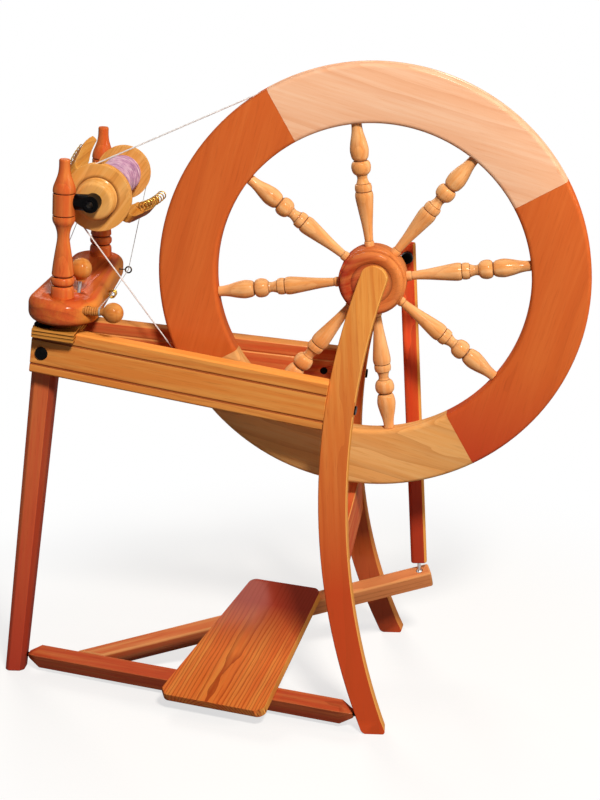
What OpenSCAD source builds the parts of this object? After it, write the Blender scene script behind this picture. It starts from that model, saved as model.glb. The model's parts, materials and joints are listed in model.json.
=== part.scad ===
// Single treadle spinning wheel: three legs, sloping table, one drive band and a
// flyer whose bobbin is held back by a sprung brake line. Sizes are millimetres.
// X runs along the table towards the drive wheel, Y to the back, Z up from the floor.
// The sub-parts are drawn about the wheel axle line and then moved so that the
// origin is the floor point under the middle of the whole wheel.

/* [Drive wheel] */
// outer diameter of the drive wheel
wheel_d = 560; // [520:1:580]
// height of the wheel axle above the floor
axle_h = 569; // [555:1:600]
// radial width of the rim boards
rim_w = 76; // [60:1:84]
// thickness of the rim boards
rim_t = 28; // [24:1:32]
// depth of the drive band groove in the rim
rim_groove = 5; // [4:0.5:7]
// diameter of the hub
hub_d = 88; // [80:1:96]
// length of the hub along the axle
hub_len = 54; // [48:1:56]
// diameter of the steel axle
axle_d = 12; // [10:0.5:14]
// distance from the axle to the crank pin
crank_throw = 40; // [34:1:44]

/* [Wheel legs] */
// width of the curved legs, across the board
leg_w = 37; // [32:1:42]
// thickness of the curved legs
leg_t = 20; // [18:1:22]
// outward lean of the curved legs
leg_splay = 11; // [9:0.5:13]
// half the outside width over the legs at the axle
leg_out = 57; // [56:0.5:62]
// how far the legs bow away from the wheel side
leg_bow = 48; // [40:1:56]

/* [Table] */
// slope of the table, down towards the wheel
table_slope = 8.75; // [7:0.25:10]
// height of the side rails
rail_h = 65; // [56:1:72]
// thickness of the side rails
rail_t = 22; // [18:1:24]
// side of the flyer end leg at its top
end_leg_w = 35; // [32:1:38]
// side of the flyer end leg at the floor
end_leg_foot_w = 27; // [24:1:30]
// length of the table block along the table
block_l = 56; // [52:1:64]
// width of the table block
block_w = 120; // [104:1:140]
// thickness of the table block
block_t = 12; // [10:1:14]

/* [Flyer bar] */
// length of the flyer bar
bar_l = 296; // [288:1:310]
// width of the flyer bar
bar_w = 80; // [72:1:84]
// thickness of the flyer bar
bar_t = 34; // [30:1:36]
// distance between the two maidens
maiden_gap = 228; // [226:1:240]
// height of the maidens above the bar
maiden_h = 182; // [170:1:195]
// largest diameter of the maidens
maiden_d = 29.4; // [26:0.2:31]
// diameter of the tension knob
tension_knob_d = 28.5; // [22:0.5:30]
// diameter of the brake peg's knob
brake_knob_d = 27; // [22:1:30]

/* [Flyer] */
// diameter of the large whorl
whorl_d = 89; // [80:1:92]
// diameter of the small whorl in front of it
small_whorl_d = 54; // [48:1:60]
// inside diameter of the orifice tube
orifice_d = 10; // [8:0.5:10.5]
// outside diameter of the orifice tube
tube_d = 14; // [13.5:0.5:15]
// diameter of the spindle that carries the bobbin
spindle_d = 9.5; // [8.5:0.25:10]
// greatest half spread of the flyer arms
arm_spread = 64; // [60:1:66]
// width of the flyer arms
arm_w = 14; // [12:1:16]
// hooks on each flyer arm
hook_n = 8; // [5:1:9]
// diameter of the bobbin's rear end
bobbin_d = 73; // [66:1:76]
// diameter over the wound yarn
yarn_d = 52; // [44:1:54]

/* [Treadle] */
// height of the treadle pivots above the floor
pivot_h = 21; // [20:1:26]
// lift of the treadle as it stands
treadle_tilt = 20; // [17:0.5:22]
// side of the treadle rail
treadle_rail_w = 23; // [20:1:25]
// length of the treadle board
board_l = 239; // [215:1:250]
// width of the treadle board at its front end
board_front_w = 153; // [135:1:165]
// width of the treadle board at its back end
board_back_w = 110; // [95:1:125]
// thickness of the treadle board
board_t = 12; // [10:1:16]
// width of the treadle arm
arm_bar_w = 23; // [20:1:26]
// width of the connecting rod
rod_w = 22; // [18:1:24]
// thickness of the connecting rod
rod_t = 12; // [10:1:13]

/* [Cords] */
// diameter of the drive band
band_d = 2.5; // [2:0.1:3]
// diameter of the brake line
line_d = 1; // [0.8:0.1:1.4]

/* [Hidden] */
$fn = 72;
eps = 0.02;            // easy fit between glued pieces
run = 0.05;            // running clearance of a shaft, on the radius
face_gap = 0.3;        // space between moving faces
big = 400;             // reach of the cutting solids

// drive wheel
wheel_r = wheel_d / 2;
rim_in = wheel_r - rim_w;
spoke_n = 8;
spoke_first = 5;       // turn of the first spoke as the wheel stands
crank_turn = 14;       // turn of the crank as the wheel stands
tenon_r = 5;
tenon_in = 16;         // depth of the spoke tenons in the rim and the hub
axle_r = axle_d / 2;
bush_wall = 3;
bush_flange_r = axle_r + bush_wall + 3;
hub_boss_y = hub_len / 2 + 4;

// wheel legs, drawn flat with the axle at [0, 0] and then leaned outwards
leg_len = axle_h / cos(leg_splay);
leg_outer_mid = 0.48 * leg_len;  // depth of the bow's middle on the outer and the inner edge
leg_inner_mid = 0.492 * leg_len;
leg_cap = 12;          // centre of the rounded top above the axle
leg_skin = 7;          // wood left in front of the axle's blind hole
function bow_r(mid) = (mid * mid + leg_bow * leg_bow) / (2 * leg_bow);
function bow_x(v, mid) = bow_r(mid) - leg_bow - sqrt(pow(bow_r(mid), 2) - pow(v + mid, 2));
function leg_outer_x(v) = bow_x(v, leg_outer_mid) - leg_w / 2;
function leg_inner_x(v) = bow_x(v, leg_inner_mid) + leg_w / 2;
function leg_v(z) = (z - axle_h) / cos(leg_splay);
function leg_out_y(z) = leg_out + tan(leg_splay) * (axle_h - z);
leg_depth = leg_t / cos(leg_splay);

// crank, just behind the rear leg
crank_t = 5;
crank_pin_r = 4;
crank_web = axle_d - 1.5;
crank_y = leg_out_y(axle_h - crank_throw - 10) + 1.5;
crank_pin_end = crank_y + crank_t + 2;
crank_pin = [crank_throw * cos(crank_turn), axle_h + crank_throw * sin(crank_turn)];

// table frame: origin on the rails' top line, first axis down the slope
table_x = -250;
table_drop = 85;       // table origin below the axle
table_z = axle_h - table_drop;
end_leg_s = -183.5;    // the flyer end leg along the table
rail_tail = 14;        // rail length beyond that leg's middle
block_rise = 3;        // block top above the rails' top
block_inset = 3;       // block's end in from the rails' ends
block_left = end_leg_s - rail_tail + block_inset;
block_seat = block_rise - block_t;
function table_xz(s, n) = [table_x + s * cos(table_slope) + n * sin(table_slope),
                           table_z - s * sin(table_slope) + n * cos(table_slope)];
rail_cut_h = table_z - tan(table_slope) * (-55 - table_x) - rail_h / 2;
rail_joint_x = leg_outer_x(leg_v(rail_cut_h));
rail_y0 = end_leg_w / 2 + rail_t / 2;
rail_y1 = leg_out_y(rail_cut_h) - leg_depth / 2;
rail_start = table_xz(end_leg_s, -rail_h / 2);
rail_run = (rail_joint_x - rail_start[0]) / cos(table_slope);
rail_turn = atan2(rail_y1 - rail_y0, rail_run);
rail_len = rail_run / cos(rail_turn);
rail_groove = 2.2;
rail_bead_low = 12.5;  // groove lines above the rail's bottom and below its top
rail_bead_top = 17.5;
rail_bolt_r = 3;
rail_bolt_in = 34;
barrel_r = 5;
barrel_in = 20;
bolt_head_r = 6;
bolt_head_t = 4;
leg_bolt_r = 4;
leg_bolt_head_r = 8.5;
leg_bolt_n = -36;
leg_bolt_seat = rail_y0 + rail_t / 2 - 2;

// flyer end leg, a little steeper out than square to the table
end_leg_lean = 9.5;
end_leg_at = table_xz(end_leg_s, 0);
end_leg_drop = end_leg_at[1] / cos(end_leg_lean) + 25;
end_leg_cham = 0.2;    // corner chamfer as a share of the side
function end_leg_x(n) = end_leg_at[0] + n * sin(end_leg_lean);
function end_leg_n(z) = (z - end_leg_at[1]) / cos(end_leg_lean);
function end_leg_half(n) = end_leg_foot_w / 2
    + (end_leg_w - end_leg_foot_w) / 2 * (end_leg_drop + n) / (end_leg_drop + block_rise);

// stretcher between the curved legs
stretcher_top = axle_h - wheel_r - 20;
stretcher_h = 60;
stretcher_t = 19;
stretcher_x = leg_inner_x(leg_v(stretcher_top - stretcher_h / 2)) - 1;

// flyer bar frame: origin on the bar's top in the maidens' line
bar_lean = 4.85;
bar_x = -403.5;
bar_y = 76;
bar_round = 12;
bar_off = -6;          // bar's middle line from the maidens' line
bar_left = bar_off - bar_w / 2;
bar_right = bar_off + bar_w / 2;
maiden_front_y = bar_y - maiden_gap / 2;
maiden_back_y = bar_y + maiden_gap / 2;
maiden_r = maiden_d / 2;
maiden_tenon_r = 8;
maiden_tenon = 20;
flyer_p = 36;          // flyer axis from the maidens' line and above the bar
flyer_up = 0.7 * maiden_h;
bearing_r = 10.5;
bearing_ring_r = tube_d / 2 + 4;
rear_bearing_r = 8;
spindle_end_r = 3;

// hinge under the bar's outer edge
hinge_pin_r = 1.5;
hinge_r = 3;
hinge_s = block_left + hinge_r + 0.5;
hinge_n = block_rise + hinge_r + 0.4;
hinge_leaf_t = 1.2;
hinge_half = 50;
hinge_mid = 13.5;
hinge_at = table_xz(hinge_s, hinge_n);
bar_z = hinge_at[1] + ((hinge_at[0] - bar_x) * sin(bar_lean) + bar_t + hinge_r + eps) / cos(bar_lean);

// tension screw, square to the table block
tension_s = -147;
tension_y = -8;
tension_r = 2.25;
tension_up = 78;       // middle of the knob above the table
tension_deep = 8;
bar_hole_r = 5.4;

// flyer
flyer_turn = 145;      // turn of the flyer arms as it stands
spindle_r = spindle_d / 2;
tube_r = tube_d / 2;
whorl_r = whorl_d / 2;
small_whorl_r = small_whorl_d / 2;
groove_floor = whorl_r - 5.8;
tube_front = maiden_front_y - bearing_r - 2;
tube_back = 31.5;
whorl_front = maiden_front_y + bearing_r + 0.5;
whorl_back = 6.5;
yoke_front = 8;
yoke_back = 25;
arm_tip = 156;
hook_r = 4.4;
hook_wire = 0.8;
spindle_step = maiden_back_y - rear_bearing_r - 4;
spindle_back = maiden_back_y + rear_bearing_r - 1;

// bobbin
bobbin_front = 33;
bobbin_back = 171;
end_front_t = 7;
end_back_y = 157;
brake_y = 165;
barrel_out_r = 11;
wound_front = bobbin_front + 1 + end_front_t;
strand_r = 2.05;
strand_loops = 24;
core_r = yarn_d / 2 - 2 * strand_r;
brake_floor = bobbin_d / 2 - 3.5;

// brake line, peg and eyes, in the bar frame
line_r = line_d / 2;
brake_arc_r = brake_floor + face_gap + line_r;
peg_y = maiden_front_y - 17;
peg_n = -bar_t / 3;
peg_r = 5;
peg_tip = bar_right - 20;
peg_bead_s = bar_right + 3;
peg_knob_s = bar_right + 37.5;
peg_wrap_s = bar_right + 20;
eye_wire = 1.1;
eye_r = 4.2;
ring_at = [bar_right + 14, 153, -8.6];
brass_eye_at = [bar_right + 12, 58, -18];
hook_at = [bar_left - 6, brake_y, -11];
spring_r = 3;
spring_wire = 0.55;
spring_pitch = 2;
spring_turns = 9;
flyer_c = [flyer_p, flyer_up];
function touch(q, c, r, side) = let (d = q - c, a = atan2(d[1], d[0]), b = acos(r / norm(d)))
    [c[0] + r * cos(a + side * b), c[1] + r * sin(a + side * b)];
function turn_of(q, c) = atan2(q[1] - c[1], q[0] - c[0]);
line_left = touch([hook_at[0], hook_at[2]], flyer_c, brake_arc_r, -1);
line_right = touch([ring_at[0], ring_at[2]], flyer_c, brake_arc_r, 1);
line_vec = line_left - [hook_at[0], hook_at[2]];
line_dir = line_vec / norm(line_vec);
spring_hold = eye_r + eye_wire + eps;
spring_from = spring_hold + 1.2;
spring_tail = 4.4;
spring_to = spring_from + spring_turns * spring_pitch + spring_tail + face_gap;

// cord runs end a little inside the rounded joints between them
bend_in = 0.1;
bend_grow = 0.04;

// drive band
band_r = band_d / 2;
band_wheel_r = wheel_r - rim_groove + face_gap + band_r;
band_whorl_r = groove_floor + face_gap + band_r;
flyer_at = [bar_x + flyer_p * cos(bar_lean) + flyer_up * sin(bar_lean),
            bar_z - flyer_p * sin(bar_lean) + flyer_up * cos(bar_lean)];
axle_at = [0, axle_h];
band_span = norm(flyer_at - axle_at);
band_line = atan2(flyer_at[1] - axle_at[1], flyer_at[0] - axle_at[0]);
band_open = acos((band_wheel_r - band_whorl_r) / band_span);
band_run = band_span * sin(band_open);

// treadle frame: origin on the left pivot, first axis along the pivots
pin_n = end_leg_n(pivot_h);
pivot_left = [end_leg_x(pin_n) + end_leg_half(pin_n) / cos(end_leg_lean), 0, pivot_h];
pivot_right = [leg_outer_x(leg_v(pivot_h)), leg_depth / 2 - leg_out_y(pivot_h), pivot_h];
treadle_turn = atan2(pivot_right[1] - pivot_left[1], pivot_right[0] - pivot_left[0]);
treadle_l = norm(pivot_right - pivot_left);
pin_r = 3;
pin_in = 12;
rail_end_gap = 4;
rail_tip = 4;
rail_taper = 18;
treadle_half = treadle_rail_w / 2;
arm_root = 80;
link_at = [treadle_l - 8.5, 269.5, treadle_half - 2.5];
arm_turn = atan2(link_at[1], link_at[0] - arm_root);
arm_len = norm([link_at[0] - arm_root, link_at[1]]) + 15;
arm_bar_t = treadle_rail_w;
board_mid = 0.625 * treadle_l;
board_skew = 9.5;      // back end set off from the front end, along the rail
board_front = -46;
board_corner = 12;
link_hole_r = 5;
link_ball_r = link_hole_r - 0.4;
link_r = 2.5;
function treadle_xyz(p) = let (v = p[1] * cos(treadle_tilt) - p[2] * sin(treadle_tilt),
                               w = p[1] * sin(treadle_tilt) + p[2] * cos(treadle_tilt))
    pivot_left + [p[0] * cos(treadle_turn) - v * sin(treadle_turn),
                  p[0] * sin(treadle_turn) + v * cos(treadle_turn), w];
link_xyz = treadle_xyz(link_at);
rod_vec = crank_pin - [link_xyz[0], link_xyz[2]];
rod_len = norm(rod_vec);
rod_lean = atan2(rod_vec[0], rod_vec[1]);
rod_foot = 15;
rod_head = 17;
rod_bush_r = 7;
rod_gap = 3.2;         // the open pivot: bush clear of the crank pin
bush_front = crank_pin_end + rod_gap - link_xyz[1];

// place of the drawing origin
foot_grow = (end_leg_w - end_leg_foot_w) / 2 / (end_leg_drop + block_rise);
foot_n = end_leg_n(0);
foot_edge = end_leg_half(foot_n) / (1 + foot_grow * tan(end_leg_lean)) / cos(end_leg_lean);
x_least = end_leg_x(foot_n) - foot_edge;
origin_x = -(x_least + wheel_r) / 2;
origin_y = -(bar_y + bar_l / 2 - leg_out_y(0)) / 2;

// colours
honey = [0.80, 0.50, 0.24];
amber = [0.74, 0.40, 0.18];
steel = [0.66, 0.67, 0.69];
brass = [0.80, 0.62, 0.26];
black = [0.09, 0.09, 0.10];
cord = [0.90, 0.88, 0.86];
mauve = [0.58, 0.42, 0.60];

// Frames.
module place() {
    translate([origin_x, origin_y, 0]) children();
}

// wheel seen from the front: first axis right, second up, third to the viewer
module at_axle() {
    translate([0, 0, axle_h]) rotate([90, 0, 0]) children();
}

module at_table() {
    translate([table_x, 0, table_z]) rotate([0, table_slope, 0]) children();
}

// flyer end leg: third axis up the leg, zero in the rails' top line
module at_end_leg() {
    translate([end_leg_at[0], 0, end_leg_at[1]]) rotate([0, end_leg_lean, 0]) children();
}

module at_bar() {
    translate([bar_x, 0, bar_z]) rotate([0, bar_lean, 0]) children();
}

// flyer axis along the third axis, with its zero in the wheel's plane
module at_flyer() {
    at_bar() translate([flyer_p, 0, flyer_up]) rotate([-90, 0, 0]) children();
}

module at_treadle() {
    translate(pivot_left) rotate([0, 0, treadle_turn]) rotate([treadle_tilt, 0, 0]) children();
}

// connecting rod: zero at its lower pivot, third axis up the rod
module at_rod() {
    translate(link_xyz) rotate([0, rod_lean, 0]) children();
}

// curved leg: side -1 is the front one, 1 the rear one
module at_leg(side) {
    mirror([0, side > 0 ? 1 : 0, 0])
        translate([0, -leg_out, axle_h]) rotate([-leg_splay, 0, 0]) children();
}

// rail: first axis along the rail from the flyer end leg
module at_rail(side) {
    at_table() translate([end_leg_s, side * rail_y0, 0]) rotate([0, 0, side * rail_turn]) children();
}

// Helpers.
module strut(a, b, r) {
    d = b - a;
    translate(a) rotate([0, acos(d[2] / norm(d)), atan2(d[1], d[0])])
        translate([0, 0, bend_in]) cylinder(h = norm(d) - 2 * bend_in, r = r);
}

// rounded joint that takes in the ends of two cord runs
module bend(at, r) {
    translate(at) sphere(r = r + bend_grow, $fn = 32);
}

module upright(t0, t1) {
    rotate([90, 0, 0]) translate([0, 0, -t1]) linear_extrude(t1 - t0) children();
}

module floor_cut() {
    translate([-2 * big, -2 * big, -big]) cube([4 * big, 4 * big, big]);
}

// one unbroken wound strand about the third axis, its ends run out straight
module coil(r, wire, turns, per_turn, pitch) {
    sides = 6;
    last = turns * per_turn;
    function mid(i) = [r * cos(360 * i / per_turn), r * sin(360 * i / per_turn), pitch * i / per_turn];
    function ahead(i) = let (a = 360 * i / per_turn) [-sin(a), cos(a), 0];
    function ring(c, i) = let (a = 360 * i / per_turn)
        [for (k = [0:sides - 1]) let (b = 360 * k / sides)
            c + wire * [cos(b) * cos(a), cos(b) * sin(a), sin(b)]];
    rings = concat([ring(mid(0) - 2 * wire * ahead(0), 0)],
                   [for (i = [0:last]) ring(mid(i), i)],
                   [ring(mid(last) + 2 * wire * ahead(last), last)]);
    ends = len(rings) - 1;
    points = [for (q = rings) for (p = q) p];
    skin = [for (i = [0:ends - 1]) for (k = [0:sides - 1])
        let (a = i * sides + k, b = i * sides + (k + 1) % sides)
            for (t = [[a, b, a + sides], [b, b + sides, a + sides]]) t];
    first = [for (k = [1:sides - 2]) [0, k + 1, k]];
    final = [for (k = [1:sides - 2]) ends * sides * [1, 1, 1] + [0, k, k + 1]];
    echo(coil_gap = pitch - 2 * wire);
    polyhedron(points, concat(skin, first, final));
}

// Drive wheel.
module rim_outline() {
    edge = 4;
    half = rim_t / 2;
    difference() {
        polygon([[rim_in, edge - half], [rim_in + edge, -half], [wheel_r - edge, -half],
                 [wheel_r, edge - half], [wheel_r, half - edge], [wheel_r - edge, half],
                 [rim_in + edge, half], [rim_in, half - edge]]);
        polygon([[wheel_r - rim_groove, -1.6], [wheel_r + 1, -4.4],
                 [wheel_r + 1, 4.4], [wheel_r - rim_groove, 1.6]]);
    }
}

module rim_segment(k) {
    color(honey) place() at_axle() difference() {
        rotate([0, 0, spoke_first + 22.5 + 90 * k])
            rotate_extrude(angle = 90, $fn = 180) rim_outline();
        for (j = [1, 2])
            rotate([0, 0, spoke_first + 90 * k + 45 * j]) rotate([0, 90, 0])
                translate([0, 0, rim_in - 10]) cylinder(h = tenon_in + 10, r = tenon_r + eps);
    }
}

// turned spoke: radius against its share of the way from the hub to the rim
spoke_turns = [
    [6.3, 0], [6.3, 0.034], [5.5, 0.042], [6.9, 0.161], [9.7, 0.297], [11.4, 0.381], [11.7, 0.415],
    [11.0, 0.441], [9.9, 0.447], [10.6, 0.4525], [10.9, 0.480], [10.2, 0.505], [8.6, 0.512],
    [7.2, 0.534], [6.5, 0.559], [7.4, 0.581], [9.0, 0.5915], [11.0, 0.602], [12.3, 0.627],
    [12.6, 0.649], [11.9, 0.673], [10.2, 0.690], [8.4, 0.698], [9.2, 0.707], [10.8, 0.724],
    [11.9, 0.763], [11.9, 0.797], [10.2, 0.856], [7.9, 0.915], [6.9, 0.958]];

module spoke_outline() {
    hub_r = hub_d / 2;
    end = rim_in - 0.6;
    tip = rim_in + tenon_in - 1;
    polygon(concat(
        [[0, hub_r - tenon_in], [tenon_r, hub_r - tenon_in], [tenon_r, hub_r]],
        [for (t = spoke_turns) [t[0], hub_r + t[1] * (end - hub_r)]],
        [[6.7, end], [tenon_r, end], [tenon_r, tip], [0, tip]]));
}

module spoke(k) {
    color(amber) place() at_axle() rotate([0, 0, spoke_first + 45 * k]) rotate([0, 90, 0])
        rotate_extrude() spoke_outline();
}

module hub() {
    r = hub_d / 2;
    half = hub_len / 2;
    band = 18;
    color(amber) place() at_axle() difference() {
        rotate_extrude() polygon([
            [axle_r + eps, -hub_boss_y + face_gap], [axle_r + 5, -hub_boss_y + face_gap],
            [axle_r + 5, -half], [r - 16, -half], [r - 14.5, 1.5 - half], [r - 13, -half],
            [r - 6.5, -half], [r - 4.6, 1.5 - half], [r - 4.2, -band], [r - 1, -band], [r, 1 - band],
            [r, band - 1], [r - 1, band], [r - 4.2, band], [r - 4.6, half - 1.5], [r - 6.5, half],
            [r - 13, half], [r - 14.5, half - 1.5], [r - 16, half], [axle_r + 5, half],
            [axle_r + 5, hub_boss_y - face_gap], [axle_r + eps, hub_boss_y - face_gap]]);
        for (k = [0:spoke_n - 1])
            rotate([0, 0, spoke_first + 45 * k]) rotate([0, 90, 0])
                translate([0, 0, r - tenon_in - 1]) cylinder(h = tenon_in + 10, r = tenon_r + eps);
    }
}

// steel axle with its crank arm and pin in one forging
module axle_crank() {
    front = leg_skin + 3 - leg_out;
    color(steel) place() at_axle() {
        translate([0, 0, -crank_y - crank_t]) cylinder(h = crank_y + crank_t - front, r = axle_r);
        translate([0, 0, -crank_y - crank_t]) cylinder(h = crank_t, r = axle_r + 4);
        rotate([0, 0, crank_turn]) {
            translate([0, -crank_web / 2, -crank_y - crank_t]) cube([crank_throw, crank_web, crank_t]);
            translate([crank_throw, 0, -crank_y - crank_t]) cylinder(h = crank_t, r = crank_pin_r + 3.5);
            translate([crank_throw, 0, -crank_pin_end])
                cylinder(h = crank_pin_end - crank_y, r = crank_pin_r);
        }
    }
}

module front_axle_bush() {
    flange_y = leg_out - leg_depth - tan(leg_splay) * bush_flange_r - 0.2;
    color(black) place() at_axle() difference() {
        union() {
            translate([0, 0, hub_boss_y])
                cylinder(h = leg_out - leg_skin - hub_boss_y, r = axle_r + bush_wall);
            translate([0, 0, hub_boss_y]) cylinder(h = flange_y - hub_boss_y, r = bush_flange_r);
        }
        translate([0, 0, hub_boss_y - 1])
            cylinder(h = leg_out - leg_skin - 2.5 - hub_boss_y + 1, r = axle_r + run);
    }
}

module rear_axle_bush() {
    flange_y = leg_out - leg_depth - tan(leg_splay) * bush_flange_r - 0.2;
    end_y = leg_out + 2.5;
    color(black) place() at_axle() difference() {
        union() {
            translate([0, 0, -end_y]) cylinder(h = end_y - hub_boss_y, r = axle_r + bush_wall);
            translate([0, 0, -flange_y]) cylinder(h = flange_y - hub_boss_y, r = bush_flange_r);
        }
        translate([0, 0, -end_y - 1]) cylinder(h = end_y + 2, r = axle_r + run);
    }
}

// Wheel legs.
module leg_edge(mid, shift, grow) {
    translate([bow_r(mid) - leg_bow + shift, -mid]) circle(r = bow_r(mid) + grow, $fn = 360);
}

module leg_outline() {
    below = 40;
    cap_x = (leg_outer_x(leg_cap) + leg_inner_x(leg_cap)) / 2;
    difference() {
        intersection() {
            leg_edge(leg_outer_mid, -leg_w / 2, 0);
            union() {
                translate([-big / 2, -leg_len - below]) square([big, leg_len + below + leg_cap]);
                translate([cap_x, leg_cap]) circle(r = leg_w / 2);
            }
        }
        leg_edge(leg_inner_mid, leg_w / 2, 0);
    }
}

module leg_board(side) {
    difference() {
        at_leg(side) upright(0, leg_t) leg_outline();
        floor_cut();
        rail_bolt_space(side);
    }
}

// everything on the wheel side of a leg's outer curve, to cut the rails' ends
module leg_side(side) {
    at_leg(side) upright(-3 * leg_t, 4 * leg_t) leg_edge(leg_outer_mid, -leg_w / 2, eps);
}

module front_wheel_leg() {
    color(honey) place() difference() {
        leg_board(-1);
        at_axle() cylinder(h = leg_out - leg_skin + eps, r = axle_r + bush_wall + eps);
        treadle_pin_space();
    }
}

module rear_wheel_leg() {
    color(amber) place() difference() {
        leg_board(1);
        at_axle() translate([0, 0, -2 * leg_out]) cylinder(h = 2 * leg_out, r = axle_r + bush_wall + eps);
    }
}

module leg_stretcher() {
    reach = leg_out_y(stretcher_top - stretcher_h);
    color(amber) place() difference() {
        translate([stretcher_x - stretcher_t, -reach, stretcher_top - stretcher_h])
            cube([stretcher_t, 2 * reach, stretcher_h]);
        for (side = [-1, 1])
            at_leg(side) upright(-60, leg_t + eps) translate([-big / 2, -leg_len]) square([big, leg_len]);
    }
}

// Table.
module rail_outline() {
    bevel = 3;
    difference() {
        translate([-rail_t / 2, -rail_h]) square([rail_t, rail_h]);
        for (side = [-1, 1], n = [-rail_bead_top, rail_bead_low - rail_h])
            translate([side * rail_t / 2, n]) rotate(45) square(rail_groove, center = true);
        for (side = [-1, 1], n = [0, -rail_h])
            translate([side * rail_t / 2, n]) rotate(45) square(bevel, center = true);
    }
}

module rail_blank(side) {
    at_rail(side) translate([-rail_tail / cos(rail_turn), 0, 0])
        rotate([90, 0, 90]) linear_extrude(rail_len + 60) rail_outline();
}

module block_blank(grow) {
    at_table() translate([block_left - grow, -block_w / 2 - grow, block_seat - grow])
        cube([block_l + 2 * grow, block_w + 2 * grow, block_t + grow]);
}

// bolt along a rail through the leg, with its head's seat
module rail_bolt_space(side) {
    at_rail(side) translate([rail_len, 0, -rail_h / 2]) rotate([0, 90, 0]) {
        translate([0, 0, -rail_bolt_in - 1]) cylinder(h = rail_bolt_in + leg_w + 30, r = rail_bolt_r + eps);
        translate([0, 0, leg_w - 1]) cylinder(h = 40, r = bolt_head_r + 0.4);
    }
}

module barrel_space(side, grow) {
    at_rail(side) translate([rail_len - barrel_in, -side * rail_t / 2, -rail_h / 2])
        rotate([side * 90, 0, 0]) translate([0, 0, side > 0 ? -rail_t + 4 : -rail_t + 4])
            cylinder(h = rail_t - 4 + grow, r = barrel_r + grow);
}

module leg_bolt_space() {
    at_table() translate([end_leg_s, 0, leg_bolt_n]) rotate([90, 0, 0]) {
        translate([0, 0, -big / 2]) cylinder(h = big, r = leg_bolt_r + eps);
        for (side = [-1, 1])
            translate([0, 0, side > 0 ? leg_bolt_seat : -leg_bolt_seat - 30])
                cylinder(h = 30, r = leg_bolt_head_r + 0.3);
    }
}

module rail(side) {
    difference() {
        rail_blank(side);
        leg_side(side);
        block_blank(0);
        rail_bolt_space(side);
        barrel_space(side, eps);
        leg_bolt_space();
    }
}

module front_rail() {
    color(honey) place() rail(-1);
}

module rear_rail() {
    color(amber) place() rail(1);
}

module table_block() {
    line = 1.6;
    color(amber) place() difference() {
        block_blank(-eps);
        at_table() for (side = [-1, 1], n = [block_seat + block_t / 3, block_seat + 2 * block_t / 3])
            translate([block_left - 1, side * block_w / 2, n]) rotate([0, 90, 0])
                cylinder(h = block_l + 2, r = line / 2);
        at_table() translate([tension_s, tension_y, block_rise - tension_deep])
            cylinder(h = 2 * tension_deep, r = tension_r + run);
    }
}

module end_leg() {
    h = end_leg_drop + block_rise;
    a = end_leg_foot_w / 2;
    b = end_leg_w / 2;
    cut = 2 - 2 * end_leg_cham;
    color(honey) place() difference() {
        at_end_leg() translate([0, 0, -end_leg_drop]) intersection() {
            rotate([0, 0, 45]) cylinder(h = h, r1 = a * sqrt(2), r2 = b * sqrt(2), $fn = 4);
            cylinder(h = h, r1 = a * cut, r2 = b * cut, $fn = 4);
        }
        at_table() translate([-big, -big / 2, block_seat - eps]) cube([big, big, big]);
        floor_cut();
        rail_blank(-1);
        rail_blank(1);
        leg_bolt_space();
        treadle_pin_space();
    }
}

module leg_bolt() {
    color(black) place() at_table() translate([end_leg_s, 0, leg_bolt_n]) rotate([90, 0, 0]) {
        translate([0, 0, -leg_bolt_seat - 5]) cylinder(h = 2 * leg_bolt_seat + 6, r = leg_bolt_r);
        translate([0, 0, leg_bolt_seat]) intersection() {
            cylinder(h = 6, r = leg_bolt_head_r);
            translate([0, 0, 6 - 16]) sphere(r = 16);
        }
        translate([0, 0, -leg_bolt_seat - 4]) cylinder(h = 4, r = 6.5, $fn = 6);
    }
}

module rail_bolts() {
    color(black) place() for (side = [-1, 1])
        at_rail(side) translate([rail_len, 0, -rail_h / 2]) rotate([0, 90, 0]) {
            translate([0, 0, -rail_bolt_in]) cylinder(h = rail_bolt_in + leg_w, r = rail_bolt_r);
            translate([0, 0, leg_w - 1]) cylinder(h = bolt_head_t, r = bolt_head_r);
        }
}

module barrel_nuts() {
    color(black) place() for (side = [-1, 1]) difference() {
        barrel_space(side, 0);
        rail_bolt_space(side);
    }
}

// Flyer bar with its maidens and bearings.
module hinge_piece(low, y0, y1) {
    leaf_l = 18;
    at_table() translate([hinge_s, y0, hinge_n]) {
        rotate([-90, 0, 0]) cylinder(h = y1 - y0, r = hinge_r);
        if (low)
            translate([0, 0, block_rise - hinge_n]) cube([leaf_l, y1 - y0, hinge_leaf_t]);
        else
            rotate([0, bar_lean - table_slope, 0]) translate([0, 0, hinge_r - hinge_leaf_t])
                cube([leaf_l, y1 - y0, hinge_leaf_t]);
    }
}

module hinge_lower() {
    color(black) place() {
        difference() {
            union() {
                hinge_piece(true, -hinge_half, -hinge_mid - face_gap);
                hinge_piece(true, hinge_mid + face_gap, hinge_half);
            }
            at_table() translate([-big, -big, block_rise - 10]) cube([2 * big, 2 * big, 10]);
        }
        at_table() translate([hinge_s, -hinge_half + 1, hinge_n]) rotate([-90, 0, 0])
            cylinder(h = 2 * hinge_half - 2, r = hinge_pin_r);
    }
}

module hinge_upper() {
    color(black) place() difference() {
        hinge_piece(false, -hinge_mid, hinge_mid);
        at_table() translate([hinge_s, -hinge_half, hinge_n]) rotate([-90, 0, 0])
            cylinder(h = 2 * hinge_half, r = hinge_pin_r + run);
    }
}

module bar_outline(half) {
    deep = bar_t - 2 * bar_round;
    translate([0, -bar_t]) square([half - bar_round, bar_t]);
    translate([0, -bar_round - deep]) square([half, deep]);
    for (n = [-bar_round, -bar_t + bar_round]) translate([half - bar_round, n]) circle(r = bar_round);
}

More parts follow.
